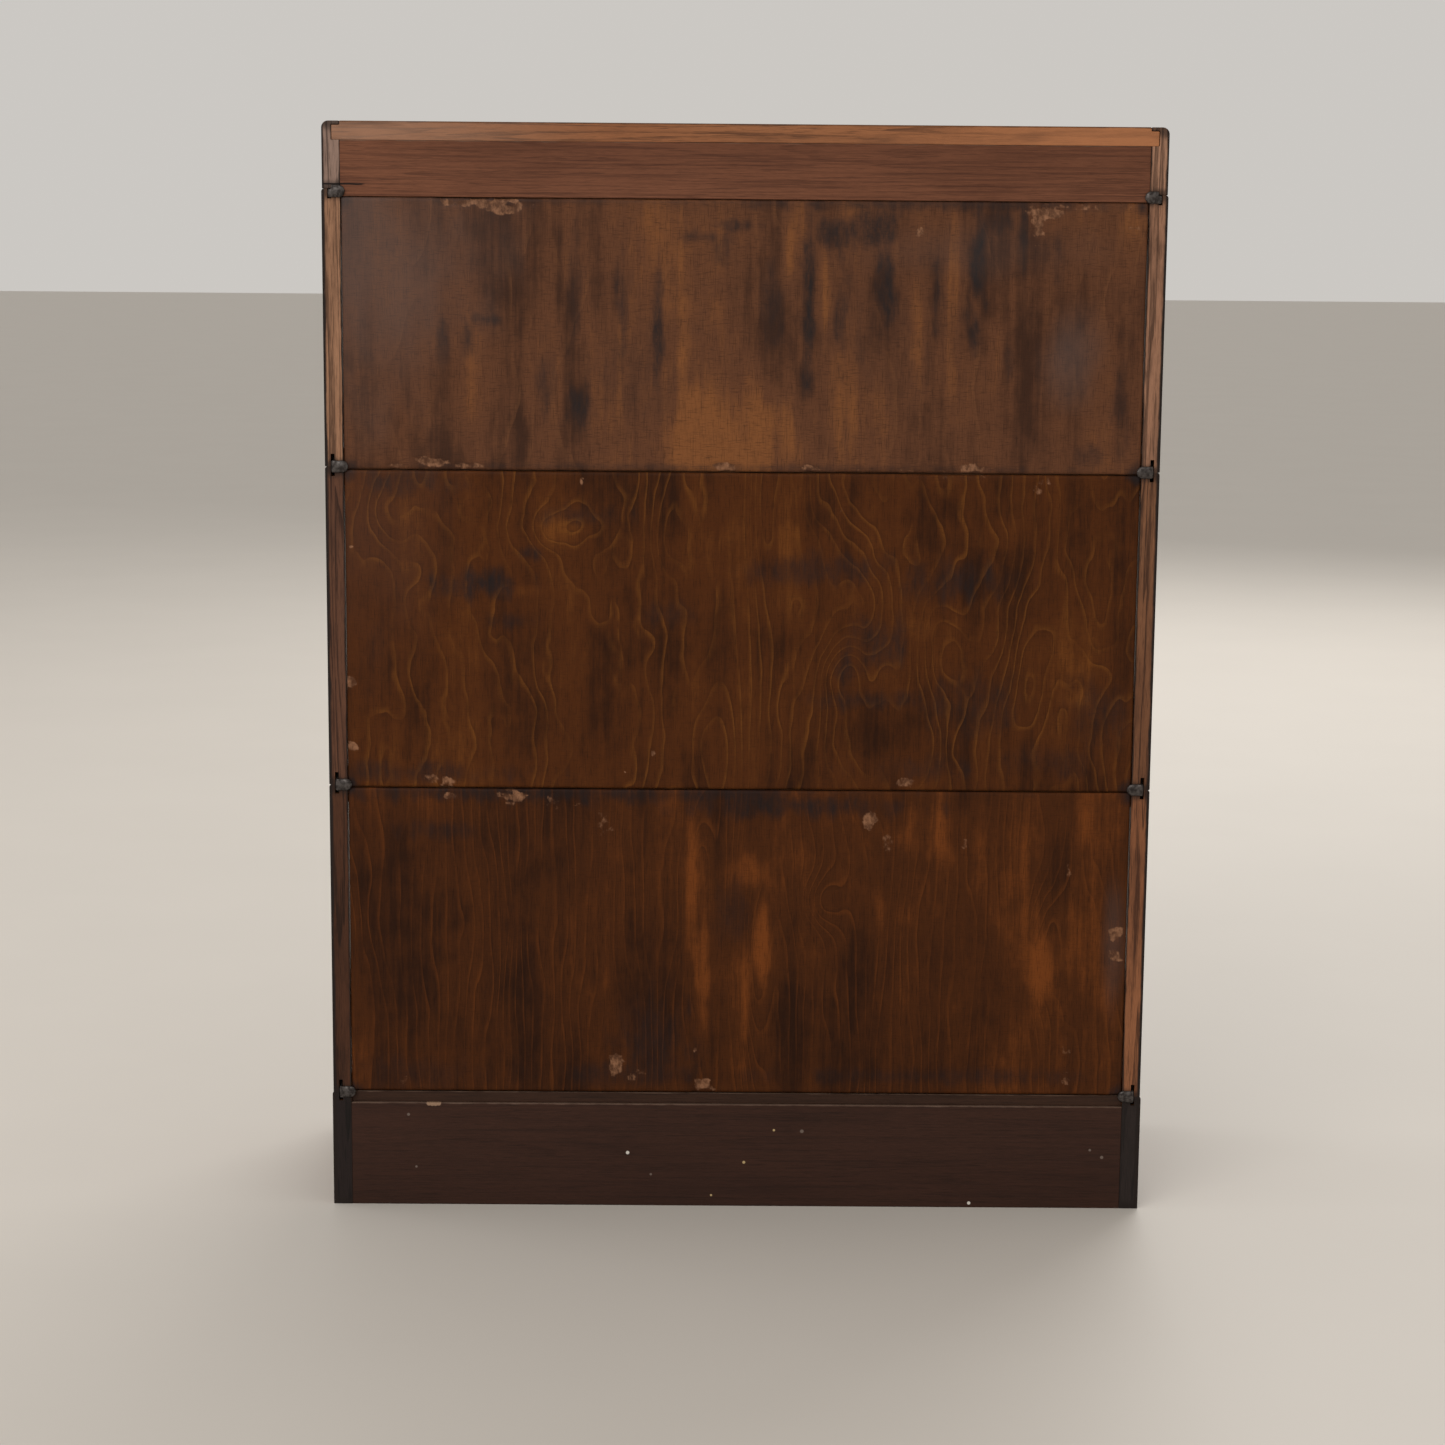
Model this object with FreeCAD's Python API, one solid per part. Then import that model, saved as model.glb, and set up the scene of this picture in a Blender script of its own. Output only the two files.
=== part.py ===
"""Sectional barrister bookcase: a base, three glazed book sections and a top unit, stacked.

Millimetres, +Z up. The front faces -Y and the back faces +Y. The origin is at floor level,
in the middle of the width and of the overall depth (knobs and rear lugs included).
"""
import FreeCAD, Part
import math
import os

os.makedirs("parts", exist_ok=True)

Vector = FreeCAD.Vector

# ---- overall sizes ------------------------------------------------------------------------
WIDTH = 864.0                # across the ends of a book section
DEPTH = 298.0                # of the ends, front edge to back edge
BASE_HEIGHT = 125.0
TOP_HEIGHT = 68.0
SECTION_HEIGHTS = (("lower", 334.5), ("middle", 334.5), ("upper", 283.0))

# ---- boards -------------------------------------------------------------------------------
END_THICKNESS = 19.0
BASE_PROUD = 1.0             # the base stands this much wider than a section, each side
TOP_SHY = 0.7                # the top unit is this much narrower than a section, each side
SECTION_TOP_ROUND = 3.0      # worn round on the outer top edge of a section's end
SECTION_FOOT_ROUND = 1.0
TOP_CORNER_ROUND = 7.0
EDGE_ROUND = 0.8
SHELF_THICKNESS = 19.0
FRONT_SETBACK = 2.0          # door face and front rails, behind the ends' front edges
FRONT_RAIL_HEIGHT = 16.0
FRONT_RAIL_DEPTH = 22.0
BACK_RAIL_HEIGHT = 20.0
BACK_RAIL_DEPTH = 20.0

# ---- back panels --------------------------------------------------------------------------
PANEL_THICKNESS = 6.0
PANEL_RECESS = 0.5           # behind the ends' back edges
PANEL_SIDE_GAP = 1.2
PANEL_LAP = 3.0              # a panel hangs this far below its own section
PANEL_JOINT_GAP = 1.0
DECK_SHOWING = 1.5           # the lowest panel stops this far above the base

# ---- top unit and base --------------------------------------------------------------------
TOP_BOARD_THICKNESS = 19.0
TONGUE_LENGTH = 8.0          # tongue on the top board's ends, under a lip of the end board
TONGUE_LIP = 3.5
TONGUE_GAP = 0.6
TOP_RAIL_THICKNESS = 18.0
TOP_RAIL_LIP = 7.5           # thin lip of the top unit's back rail, below the joint
MOULDING_DEPTH = 16.0        # cornice and plinth, in front of the ends
CORNICE_RAISE = 8.0          # underside of the cornice above the joint
CORNICE_FILLET = 12.0
CORNICE_BEAD = 7.0
CORNICE_FOOT_DEPTH = 3.0
DECK_THICKNESS = 12.0
DECK_RECESS = 4.0
BASE_BOARD_THICKNESS = 19.0
PLINTH_DROP = 7.0            # top of the plinth below the joint
PLINTH_FLAT = 88.0           # height of the plinth's flat face
PLINTH_HEAD_DEPTH = 4.0
OVOLO_OUT = 0.72             # middle of the cornice's curve, as shares of its two spans
OVOLO_UP = 0.3
COVE_SHARE = 0.3             # middle of the plinth's hollow, as a share of both spans

# ---- joining straps -----------------------------------------------------------------------
STRAP_THICKNESS = 3.0
STRAP_SLOT = 4.0
STRAP_INSET = 6.0            # slot's outer wall from the end's outer face
STRAP_BELOW = 10.0           # slot depth in the lower unit
STRAP_ABOVE = 13.0           # slot depth in the upper unit
STRAP_CLEARANCE = 0.5
STRAP_FRONT = 30.0           # slot stops this far behind the front edges
WEB_RECESS = 6.0             # web's end, inside the back edges
LUG_HEIGHT = 12.5
LUG_LAP = 5.0                # lug's round end past the end's inner face, over the panel
TOP_LUG_DROP = 2.5

# ---- doors --------------------------------------------------------------------------------
DOOR_THICKNESS = 19.0
DOOR_SIDE_GAP = 2.0
DOOR_FOOT_GAP = 1.5
DOOR_HEAD_GAP = 2.0
STILE_WIDTH = 44.0
DOOR_TOP_RAIL = 38.0
DOOR_BOTTOM_RAIL = 50.0
REBATE_WIDTH = 8.0
REBATE_LIP = 9.0             # wood left in front of the glass
GLASS_THICKNESS = 3.0
GLASS_CLEARANCE = 1.0
BEAD_CLEARANCE = 0.2
KNOB_LENGTH = 20.0
KNOB_RADIUS = 12.0
KNOB_NECK_RADIUS = 4.0
KNOB_ROSE_RADIUS = 8.0
KNOB_ROSE_THICKNESS = 2.0
KNOB_NECK_TOP = 8.5
KNOB_RIM_BAND = 1.0
KNOB_DOME_RISE = 6.0
KNOB_FROM_FOOT = 25.0
KNOB_FROM_SIDE = 111.0
KNOB_STOP_GAP = 2.5          # left between a knob and the front rail, door pushed in

# ---- door pivots, rest studs and equaliser --------------------------------------------------
PIN_RADIUS = 4.0
PIN_CLEARANCE = 0.05
PIN_IN_END = 7.5
PIN_IN_DOOR = 11.0
PIN_END_GAP = 0.5
TAB_THICKNESS = 1.2
TAB_HALF_HEIGHT = 6.0
BAR_FROM_PIVOT = 13.0        # bar's front edge, behind the pivot axis
BAR_WIDTH = 14.0
BAR_TOP = 1.0                # above the pivot axis
BAR_THICKNESS = 5.0
ARM_LENGTH = 560.0           # pivot to sliding pin
ARM_WIDTH = 14.0
ARM_THICKNESS = 2.0
ARM_BOSS_RADIUS = 9.0
ARM_PIVOT_X = -280.0
LOW_ARM_RAISE = 0.4          # lower arm above the bar
ARM_GAP = 0.6                # between the two arms
ARM_PIN_RADIUS = 2.0
ARM_LOST_MOTION = 1.65       # play that the sliding pins need over the travel
ARM_PIN_PLAY = 0.35
RIVET_RADIUS = 3.0
RAIL_PIN_FROM_BACK = 9.0     # rail pivot and slot, in front of the panel
RAIL_SLOT_DEPTH = 5.0
STUD_RADIUS = 3.0
STUD_LENGTH = 10.0
STUD_FROM_PIVOT = 15.0
STUD_GAP = 0.5
STUD_RELIEF_GAP = 1.0        # round the notch in a stile's edge that clears a stud

# ---- places worked out from the sizes -------------------------------------------------------
KNOB_PROUD = KNOB_LENGTH - FRONT_SETBACK
HALF_WIDTH = WIDTH / 2
INNER = HALF_WIDTH - END_THICKNESS
FRONT = KNOB_PROUD - (KNOB_PROUD + DEPTH + STRAP_THICKNESS) / 2
BACK = FRONT + DEPTH
FACE = FRONT + FRONT_SETBACK
PANEL_BACK = BACK - PANEL_RECESS
PANEL_FRONT = PANEL_BACK - PANEL_THICKNESS
HALF_DOOR = DOOR_THICKNESS / 2
PIVOT_Y = FACE + HALF_DOOR
PIVOT_DROP = FRONT_RAIL_HEIGHT + DOOR_HEAD_GAP + HALF_DOOR
DOOR_HALF_WIDTH = INNER - DOOR_SIDE_GAP
BAR_Y = PIVOT_Y + BAR_FROM_PIVOT + BAR_WIDTH / 2
RAIL_PIN_Y = PANEL_FRONT - RAIL_PIN_FROM_BACK
TOTAL_HEIGHT = BASE_HEIGHT + sum(height for _, height in SECTION_HEIGHTS) + TOP_HEIGHT


def box(x0, x1, y0, y1, z0, z1):
    """A box between two values on each axis."""
    return Part.makeBox(x1 - x0, y1 - y0, z1 - z0, Vector(x0, y0, z0))


def cylinder(radius, start, end):
    """A round bar between two points."""
    along = end - start
    return Part.makeCylinder(radius, along.Length, start, along)


def mirrored(shape):
    """The same shape on the other side of the middle plane."""
    return shape.mirror(Vector(0, 0, 0), Vector(1, 0, 0))


def eased(shape, radius=EDGE_ROUND):
    """A board with all its edges a little rounded."""
    return shape.makeFillet(radius, shape.Edges)


def save(node, *solids):
    """Write one node: a single solid, or a group of separate solids."""
    shape = solids[0] if len(solids) == 1 else Part.makeCompound(list(solids))
    shape.exportStep(f"parts/{node}.step")


def edges_along_y(shape, x, z):
    """The straight edges that run front to back at one place in the section."""
    found = []
    for edge in shape.Edges:
        middle = edge.CenterOfMass
        if abs(middle.x - x) < 0.01 and abs(middle.z - z) < 0.01:
            found.append(edge)
    return found


# ---- end boards -----------------------------------------------------------------------------
def end_blank(outer, inner, z0, z1, top_round, foot_round):
    """A right-hand end board with its worn outer edges, before any slot is cut."""
    board = box(inner, outer, FRONT, BACK, z0, z1)
    board = board.makeFillet(top_round, edges_along_y(board, outer, z1))
    return board.makeFillet(foot_round, edges_along_y(board, outer, z0))


def strap_slot(z0, z1):
    """The slot that takes a joining strap, open at the back edge."""
    outer = HALF_WIDTH - STRAP_INSET
    return box(outer - STRAP_SLOT, outer, FRONT + STRAP_FRONT, BACK + 1, z0, z1)


def pin_groove(pivot_z, travel):
    """The stopped groove in an end's inner face, in which a door's pivot pin slides."""
    radius = PIN_RADIUS + PIN_CLEARANCE
    depth = PIN_IN_END + PIN_END_GAP
    first = Vector(INNER - 1, PIVOT_Y, pivot_z)
    last = first + Vector(0, travel, 0)
    reach = Vector(depth + 1, 0, 0)
    ends = cylinder(radius, first, first + reach).fuse(cylinder(radius, last, last + reach))
    run = box(INNER - 1, INNER + depth, first.y, last.y, pivot_z - radius, pivot_z + radius)
    return ends.fuse(run).removeSplitter()


# ---- one book section -------------------------------------------------------------------------
def door_foot(z0):
    return z0 + SHELF_THICKNESS + DOOR_FOOT_GAP


def door_travel(z0, z1):
    """How far a raised door slides in before its knobs reach the front rail."""
    knob_from_pivot = (z1 - PIVOT_DROP) - (door_foot(z0) + KNOB_FROM_FOOT)
    knob_raised = PIVOT_Y - knob_from_pivot
    knob_stopped = FACE - KNOB_RADIUS - KNOB_STOP_GAP
    return knob_stopped - knob_raised


def section_carcase(name, z0, z1, panel_z0, panel_z1):
    """The ends, shelf, rails and back panel of one section."""
    travel = door_travel(z0, z1)
    pivot_z = z1 - PIVOT_DROP
    end = end_blank(HALF_WIDTH, INNER, z0, z1, SECTION_TOP_ROUND, SECTION_FOOT_ROUND)
    end = end.cut(strap_slot(z0 - 1, z0 + STRAP_ABOVE))
    end = end.cut(strap_slot(z1 - STRAP_BELOW, z1 + 1))
    end = end.cut(pin_groove(pivot_z, travel))
    save(f"{name}_end_right", end)
    save(f"{name}_end_left", mirrored(end))

    save(f"{name}_shelf", eased(box(-INNER, INNER, FRONT, PANEL_FRONT, z0, z0 + SHELF_THICKNESS)))

    rail = box(-INNER, INNER, FACE, FACE + FRONT_RAIL_DEPTH, z1 - FRONT_RAIL_HEIGHT, z1)
    save(f"{name}_front_rail", eased(rail))

    rail_foot = z1 - BACK_RAIL_HEIGHT
    rail = box(-INNER, INNER, PANEL_FRONT - BACK_RAIL_DEPTH, PANEL_FRONT, rail_foot, z1)
    rail = rail.cut(arm_slot(z0, z1, RAIL_PIN_Y, rail_foot - 1, rail_foot + RAIL_SLOT_DEPTH))
    screw_hole = cylinder(ARM_PIN_RADIUS, Vector(ARM_PIVOT_X, RAIL_PIN_Y, rail_foot - 1),
                          Vector(ARM_PIVOT_X, RAIL_PIN_Y, rail_foot + RAIL_SLOT_DEPTH))
    save(f"{name}_back_rail", rail.cut(screw_hole))

    half_panel = INNER - PANEL_SIDE_GAP
    panel = box(-half_panel, half_panel, PANEL_FRONT, PANEL_BACK, panel_z0, panel_z1)
    save(f"{name}_back_panel", eased(panel))


def stud_height(z1):
    """The rest studs' axis, just under a raised door."""
    return z1 - PIVOT_DROP - HALF_DOOR - STUD_GAP - STUD_RADIUS


def steel_pins(name, z1):
    """Two rest studs that carry the raised door, and the shoulder screw of the upper arm."""
    y = PIVOT_Y + STUD_FROM_PIVOT
    z = stud_height(z1)
    stud = cylinder(STUD_RADIUS, Vector(INNER - STUD_LENGTH, y, z), Vector(INNER, y, z))
    _, upper_arm_foot = arm_levels(z1)
    screw = cylinder(ARM_PIN_RADIUS, Vector(ARM_PIVOT_X, RAIL_PIN_Y, upper_arm_foot),
                     Vector(ARM_PIVOT_X, RAIL_PIN_Y, z1 - BACK_RAIL_HEIGHT + RAIL_SLOT_DEPTH))
    save(f"{name}_steel_pins", stud, mirrored(stud), screw)


# ---- equaliser: a bar behind the door and two crossed arms ---------------------------------------
def arm_levels(z1):
    """Undersides of the lower and of the upper arm."""
    low = z1 - PIVOT_DROP + BAR_TOP + LOW_ARM_RAISE
    return low, low + ARM_THICKNESS + ARM_GAP


def arm_angle(slide):
    """The arms' angle to the bar, in radians, with the door slid in by this much."""
    spread = RAIL_PIN_Y - BAR_Y - slide - ARM_LOST_MOTION
    return math.asin(spread / ARM_LENGTH)


def arm_slot(z0, z1, y, z_low, z_high):
    """The long slot in which an arm's sliding pin runs, in the bar or in the back rail."""
    half = ARM_PIN_RADIUS + ARM_LOST_MOTION + ARM_PIN_PLAY
    near = ARM_PIVOT_X + ARM_LENGTH * math.cos(arm_angle(0)) - half
    far = ARM_PIVOT_X + ARM_LENGTH * math.cos(arm_angle(door_travel(z0, z1))) + half
    return box(near, far, y - half, y + half, z_low, z_high)


def arm_plate(foot):
    """A straight arm along +X from its pivot, with round ends and a round boss in the middle."""
    half = ARM_WIDTH / 2
    plate = box(0, ARM_LENGTH, -half, half, foot, foot + ARM_THICKNESS)
    for x, radius in ((0, half), (ARM_LENGTH / 2, ARM_BOSS_RADIUS), (ARM_LENGTH, half)):
        plate = plate.fuse(cylinder(radius, Vector(x, 0, foot), Vector(x, 0, foot + ARM_THICKNESS)))
    return plate.removeSplitter()


def equaliser(name, z0, z1):
    """The bar with its end tabs and pivot pins, and the two arms as they stand, door closed."""
    pivot_z = z1 - PIVOT_DROP
    bar_top = pivot_z + BAR_TOP
    bar_foot = bar_top - BAR_THICKNESS
    bar_front = PIVOT_Y + BAR_FROM_PIVOT
    bar_back = bar_front + BAR_WIDTH
    low, high = arm_levels(z1)
    rail_foot = z1 - BACK_RAIL_HEIGHT

    tab_outer = INNER - (DOOR_SIDE_GAP - TAB_THICKNESS) / 2
    tab_inner = tab_outer - TAB_THICKNESS
    bar = box(-tab_outer, tab_outer, bar_front, bar_back, bar_foot, bar_top)
    bar = bar.cut(arm_slot(z0, z1, BAR_Y, bar_foot - 1, bar_top + 1))
    pivot = Vector(ARM_PIVOT_X, BAR_Y, 0)
    bar = bar.fuse(cylinder(ARM_PIN_RADIUS, pivot + Vector(0, 0, bar_foot + 1),
                            pivot + Vector(0, 0, low + ARM_THICKNESS)))
    tab = box(tab_inner, tab_outer, PIVOT_Y, bar_back, pivot_z - TAB_HALF_HEIGHT, bar_top)
    centre = Vector(0, PIVOT_Y, pivot_z)
    tab = tab.fuse(cylinder(TAB_HALF_HEIGHT, centre + Vector(tab_inner, 0, 0),
                            centre + Vector(tab_outer, 0, 0)))
    pin = cylinder(PIN_RADIUS, centre + Vector(DOOR_HALF_WIDTH - PIN_IN_DOOR, 0, 0),
                   centre + Vector(INNER + PIN_IN_END, 0, 0))
    side = tab.fuse(pin)
    save(f"{name}_equaliser_bar", bar.fuse(side).fuse(mirrored(side)).removeSplitter())

    angle = math.degrees(arm_angle(0))
    hole = ARM_PIN_RADIUS + PIN_CLEARANCE
    up = Vector(0, 0, 1)

    rail_arm = arm_plate(high)
    rail_arm = rail_arm.cut(cylinder(hole, Vector(0, 0, high - 1), Vector(0, 0, high + ARM_THICKNESS + 1)))
    rail_arm = rail_arm.fuse(cylinder(ARM_PIN_RADIUS, Vector(ARM_LENGTH, 0, bar_foot + 1),
                                      Vector(ARM_LENGTH, 0, high + 1)))
    rail_arm = rail_arm.fuse(cylinder(RIVET_RADIUS, Vector(ARM_LENGTH / 2, 0, low),
                                      Vector(ARM_LENGTH / 2, 0, high + 1)))
    rail_arm.rotate(Vector(0, 0, 0), up, -angle)
    rail_arm.translate(Vector(ARM_PIVOT_X, RAIL_PIN_Y, 0))
    save(f"{name}_rail_arm", rail_arm)

    bar_arm = arm_plate(low)
    bar_arm = bar_arm.cut(cylinder(hole, Vector(0, 0, low - 1), Vector(0, 0, low + ARM_THICKNESS + 1)))
    bar_arm = bar_arm.fuse(cylinder(ARM_PIN_RADIUS, Vector(ARM_LENGTH, 0, low + 1),
                                    Vector(ARM_LENGTH, 0, rail_foot + RAIL_SLOT_DEPTH - 1)))
    rivet_hole = RIVET_RADIUS + ARM_LOST_MOTION + ARM_PIN_PLAY
    bar_arm = bar_arm.cut(cylinder(rivet_hole, Vector(ARM_LENGTH / 2, 0, low - 1),
                                   Vector(ARM_LENGTH / 2, 0, low + ARM_THICKNESS + 1)))
    bar_arm.rotate(Vector(0, 0, 0), up, angle)
    bar_arm.translate(Vector(ARM_PIVOT_X, BAR_Y, 0))
    save(f"{name}_bar_arm", bar_arm)


# ---- door -------------------------------------------------------------------------------------
def half_round_head(x0, x1, pivot_z):
    """The door's top edge, a half round about the pivot axis."""
    return cylinder(HALF_DOOR, Vector(x0, PIVOT_Y, pivot_z), Vector(x1, PIVOT_Y, pivot_z))


def knob(x, z):
    """A turned brass knob on a small rose, pointing forward: a cone below a spherical dome."""
    rim = KNOB_LENGTH - KNOB_DOME_RISE
    dome_radius = (KNOB_RADIUS ** 2 + KNOB_DOME_RISE ** 2) / (2 * KNOB_DOME_RISE)
    half_angle = math.asin(KNOB_RADIUS / dome_radius) / 2
    dome_middle = Vector(dome_radius * math.sin(half_angle),
                         KNOB_LENGTH - dome_radius * (1 - math.cos(half_angle)), 0)
    apex = Vector(0, KNOB_LENGTH, 0)
    corners = [Vector(0, 0, 0), Vector(KNOB_ROSE_RADIUS, 0, 0),
               Vector(KNOB_ROSE_RADIUS, KNOB_ROSE_THICKNESS, 0),
               Vector(KNOB_NECK_RADIUS, KNOB_ROSE_THICKNESS, 0),
               Vector(KNOB_NECK_RADIUS, KNOB_NECK_TOP, 0),
               Vector(KNOB_RADIUS, rim - KNOB_RIM_BAND, 0), Vector(KNOB_RADIUS, rim, 0)]
    edges = Part.makePolygon(corners).Edges
    edges.append(Part.Arc(corners[-1], dome_middle, apex).toShape())
    edges.append(Part.makeLine(apex, corners[0]))
    turned = Part.Face(Part.Wire(edges)).revolve(corners[0], Vector(0, 1, 0), 360)
    turned.rotate(corners[0], Vector(0, 0, 1), 180)
    turned.translate(Vector(x, FACE, z))
    return turned


def door(name, z0, z1):
    """Stiles, rails, glass, glazing beads and knobs of one door, closed."""
    pivot_z = z1 - PIVOT_DROP
    foot = door_foot(z0)
    back = FACE + DOOR_THICKNESS
    sight_x = DOOR_HALF_WIDTH - STILE_WIDTH
    sight_low = foot + DOOR_BOTTOM_RAIL
    sight_high = pivot_z + HALF_DOOR - DOOR_TOP_RAIL
    glass_x = sight_x + REBATE_WIDTH
    glass_low = sight_low - REBATE_WIDTH
    glass_high = sight_high + REBATE_WIDTH
    rebate = box(-glass_x, glass_x, FACE + REBATE_LIP, back + 1, glass_low, glass_high)

    stile = box(sight_x, DOOR_HALF_WIDTH, FACE, back, foot, pivot_z)
    stile = stile.fuse(half_round_head(sight_x, DOOR_HALF_WIDTH, pivot_z)).removeSplitter()
    bore_depth = PIN_IN_DOOR + PIN_END_GAP
    bore = cylinder(PIN_RADIUS + PIN_CLEARANCE, Vector(DOOR_HALF_WIDTH - bore_depth, PIVOT_Y, pivot_z),
                    Vector(DOOR_HALF_WIDTH + 1, PIVOT_Y, pivot_z))
    stud_z = stud_height(z1)
    relief_half = STUD_RADIUS + STUD_RELIEF_GAP
    relief = box(INNER - STUD_LENGTH - STUD_RELIEF_GAP, DOOR_HALF_WIDTH + 1, FACE - 1, back + 1,
                 stud_z - relief_half, stud_z + relief_half)
    stile = stile.cut(rebate).cut(bore).cut(relief)
    save(f"{name}_door_stiles", mirrored(stile), stile)

    rail = box(-sight_x, sight_x, FACE, back, sight_high, pivot_z)
    rail = rail.fuse(half_round_head(-sight_x, sight_x, pivot_z)).removeSplitter()
    save(f"{name}_door_top_rail", rail.cut(rebate))

    rail = box(-sight_x, sight_x, FACE, back, foot, sight_low)
    save(f"{name}_door_bottom_rail", rail.cut(rebate))

    inset = GLASS_CLEARANCE
    glass_back = FACE + REBATE_LIP + GLASS_THICKNESS
    save(f"{name}_door_glass", box(-glass_x + inset, glass_x - inset, FACE + REBATE_LIP, glass_back,
                                   glass_low + inset, glass_high - inset))

    bead_x = glass_x - BEAD_CLEARANCE
    bead_low = glass_low + BEAD_CLEARANCE
    bead_high = glass_high - BEAD_CLEARANCE
    side = box(sight_x, bead_x, glass_back, back, bead_low, bead_high)
    below = box(-sight_x, sight_x, glass_back, back, bead_low, sight_low)
    above = box(-sight_x, sight_x, glass_back, back, sight_high, bead_high)
    save(f"{name}_door_beads", mirrored(side), side, below, above)

    knob_x = DOOR_HALF_WIDTH - KNOB_FROM_SIDE
    knob_z = foot + KNOB_FROM_FOOT
    save(f"{name}_door_knobs", knob(-knob_x, knob_z), knob(knob_x, knob_z))


# ---- top unit ---------------------------------------------------------------------------------
def top_unit(z0, z1):
    """Top board tongued into two ends, a back rail with a thin lip, and the cornice."""
    outer = HALF_WIDTH - TOP_SHY
    board_foot = z1 - TOP_BOARD_THICKNESS
    end = box(INNER, outer, FRONT, BACK, z0, z1)
    end = end.makeFillet(TOP_CORNER_ROUND, edges_along_y(end, outer, z1))
    tongue_x = INNER + TONGUE_LENGTH
    end = end.cut(box(INNER - 1, tongue_x + TONGUE_GAP, FRONT - 1, BACK + 1,
                      board_foot, z1 - TONGUE_LIP))
    save("top_end_right", end)
    save("top_end_left", mirrored(end))

    board = box(-INNER, INNER, FRONT, BACK, board_foot, z1)
    tongue = box(-tongue_x, tongue_x, FRONT, BACK, board_foot, z1 - TONGUE_LIP - TONGUE_GAP)
    save("top_board", board.fuse(tongue).removeSplitter())

    rail = box(-INNER, INNER, PANEL_BACK - TOP_RAIL_THICKNESS, PANEL_BACK, z0, board_foot)
    lip = box(-INNER + PANEL_SIDE_GAP, INNER - PANEL_SIDE_GAP, PANEL_FRONT, PANEL_BACK,
              z0 - TOP_RAIL_LIP, z0)
    save("top_back_rail", rail.fuse(lip).removeSplitter())

    save("top_cornice", moulding(outer, z0 + CORNICE_RAISE, z1, cornice_outline))


def cornice_outline(foot, head):
    """Ovolo: a square fillet at the head, a quarter ellipse below it and a bead at the foot."""
    near = FRONT - CORNICE_FOOT_DEPTH
    out = FRONT - MOULDING_DEPTH
    curve_foot = foot + CORNICE_BEAD
    curve_head = head - CORNICE_FILLET
    middle = Vector(0, near + (out - near) * OVOLO_OUT, curve_foot + (curve_head - curve_foot) * OVOLO_UP)
    curve = Part.Arc(Vector(0, near, curve_foot), middle, Vector(0, out, curve_head)).toShape()
    return [Part.makeLine(Vector(0, FRONT, head), Vector(0, FRONT, foot)),
            Part.makeLine(Vector(0, FRONT, foot), Vector(0, near, foot)),
            Part.makeLine(Vector(0, near, foot), Vector(0, near, curve_foot)), curve,
            Part.makeLine(Vector(0, out, curve_head), Vector(0, out, head)),
            Part.makeLine(Vector(0, out, head), Vector(0, FRONT, head))]


def plinth_outline(foot, head):
    """A flat face with a hollow above it, running back to a narrow top edge."""
    near = FRONT - PLINTH_HEAD_DEPTH
    out = FRONT - MOULDING_DEPTH
    flat = foot + PLINTH_FLAT
    middle = Vector(0, near + COVE_SHARE * (out - near), flat + COVE_SHARE * (head - flat))
    hollow = Part.Arc(Vector(0, out, flat), middle, Vector(0, near, head)).toShape()
    return [Part.makeLine(Vector(0, FRONT, head), Vector(0, FRONT, foot)),
            Part.makeLine(Vector(0, FRONT, foot), Vector(0, out, foot)),
            Part.makeLine(Vector(0, out, foot), Vector(0, out, flat)), hollow,
            Part.makeLine(Vector(0, near, head), Vector(0, FRONT, head))]


def moulding(half_length, foot, head, outline):
    """A moulding's section, carried the whole width across the front."""
    face = Part.Face(Part.Wire(outline(foot, head)))
    face.translate(Vector(-half_length, 0, 0))
    return face.extrude(Vector(2 * half_length, 0, 0))


# ---- base -------------------------------------------------------------------------------------
def base_unit(height):
    """Two ends, a deck, a back board down to the floor and the plinth moulding in front."""
    outer = HALF_WIDTH + BASE_PROUD
    end = end_blank(outer, INNER, 0, height, SECTION_TOP_ROUND, SECTION_FOOT_ROUND)
    end = end.cut(strap_slot(height - STRAP_BELOW, height + 1))
    save("base_end_right", end)
    save("base_end_left", mirrored(end))
    deck_foot = height - DECK_THICKNESS
    save("base_deck", eased(box(-INNER, INNER, FRONT, BACK - DECK_RECESS, deck_foot, height)))
    board = box(-INNER, INNER, BACK - BASE_BOARD_THICKNESS, BACK, 0, deck_foot)
    save("base_back_board", eased(board))
    save("base_plinth", moulding(outer, 0, height - PLINTH_DROP, plinth_outline))


# ---- joining straps ---------------------------------------------------------------------------
def joining_strap(joint_z, reach_above, lug_z):
    """A steel strip in the slots of two units, bent inward behind them into a round-ended lug."""
    outer = HALF_WIDTH - STRAP_INSET - (STRAP_SLOT - STRAP_THICKNESS) / 2
    inner = outer - STRAP_THICKNESS
    head = joint_z + reach_above
    foot = joint_z - STRAP_BELOW + STRAP_CLEARANCE
    web = box(inner, outer, FRONT + STRAP_FRONT + STRAP_CLEARANCE, BACK - WEB_RECESS, foot, head)
    half = LUG_HEIGHT / 2
    neck = box(inner, outer, BACK - WEB_RECESS - 1, BACK + STRAP_THICKNESS,
               max(foot, lug_z - half), min(head, lug_z + half))
    round_x = INNER - LUG_LAP + half
    lug = box(round_x, outer, BACK, BACK + STRAP_THICKNESS, lug_z - half, lug_z + half)
    lug = lug.fuse(cylinder(half, Vector(round_x, BACK, lug_z),
                            Vector(round_x, BACK + STRAP_THICKNESS, lug_z)))
    return web.fuse(neck).fuse(lug).removeSplitter()


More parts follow.
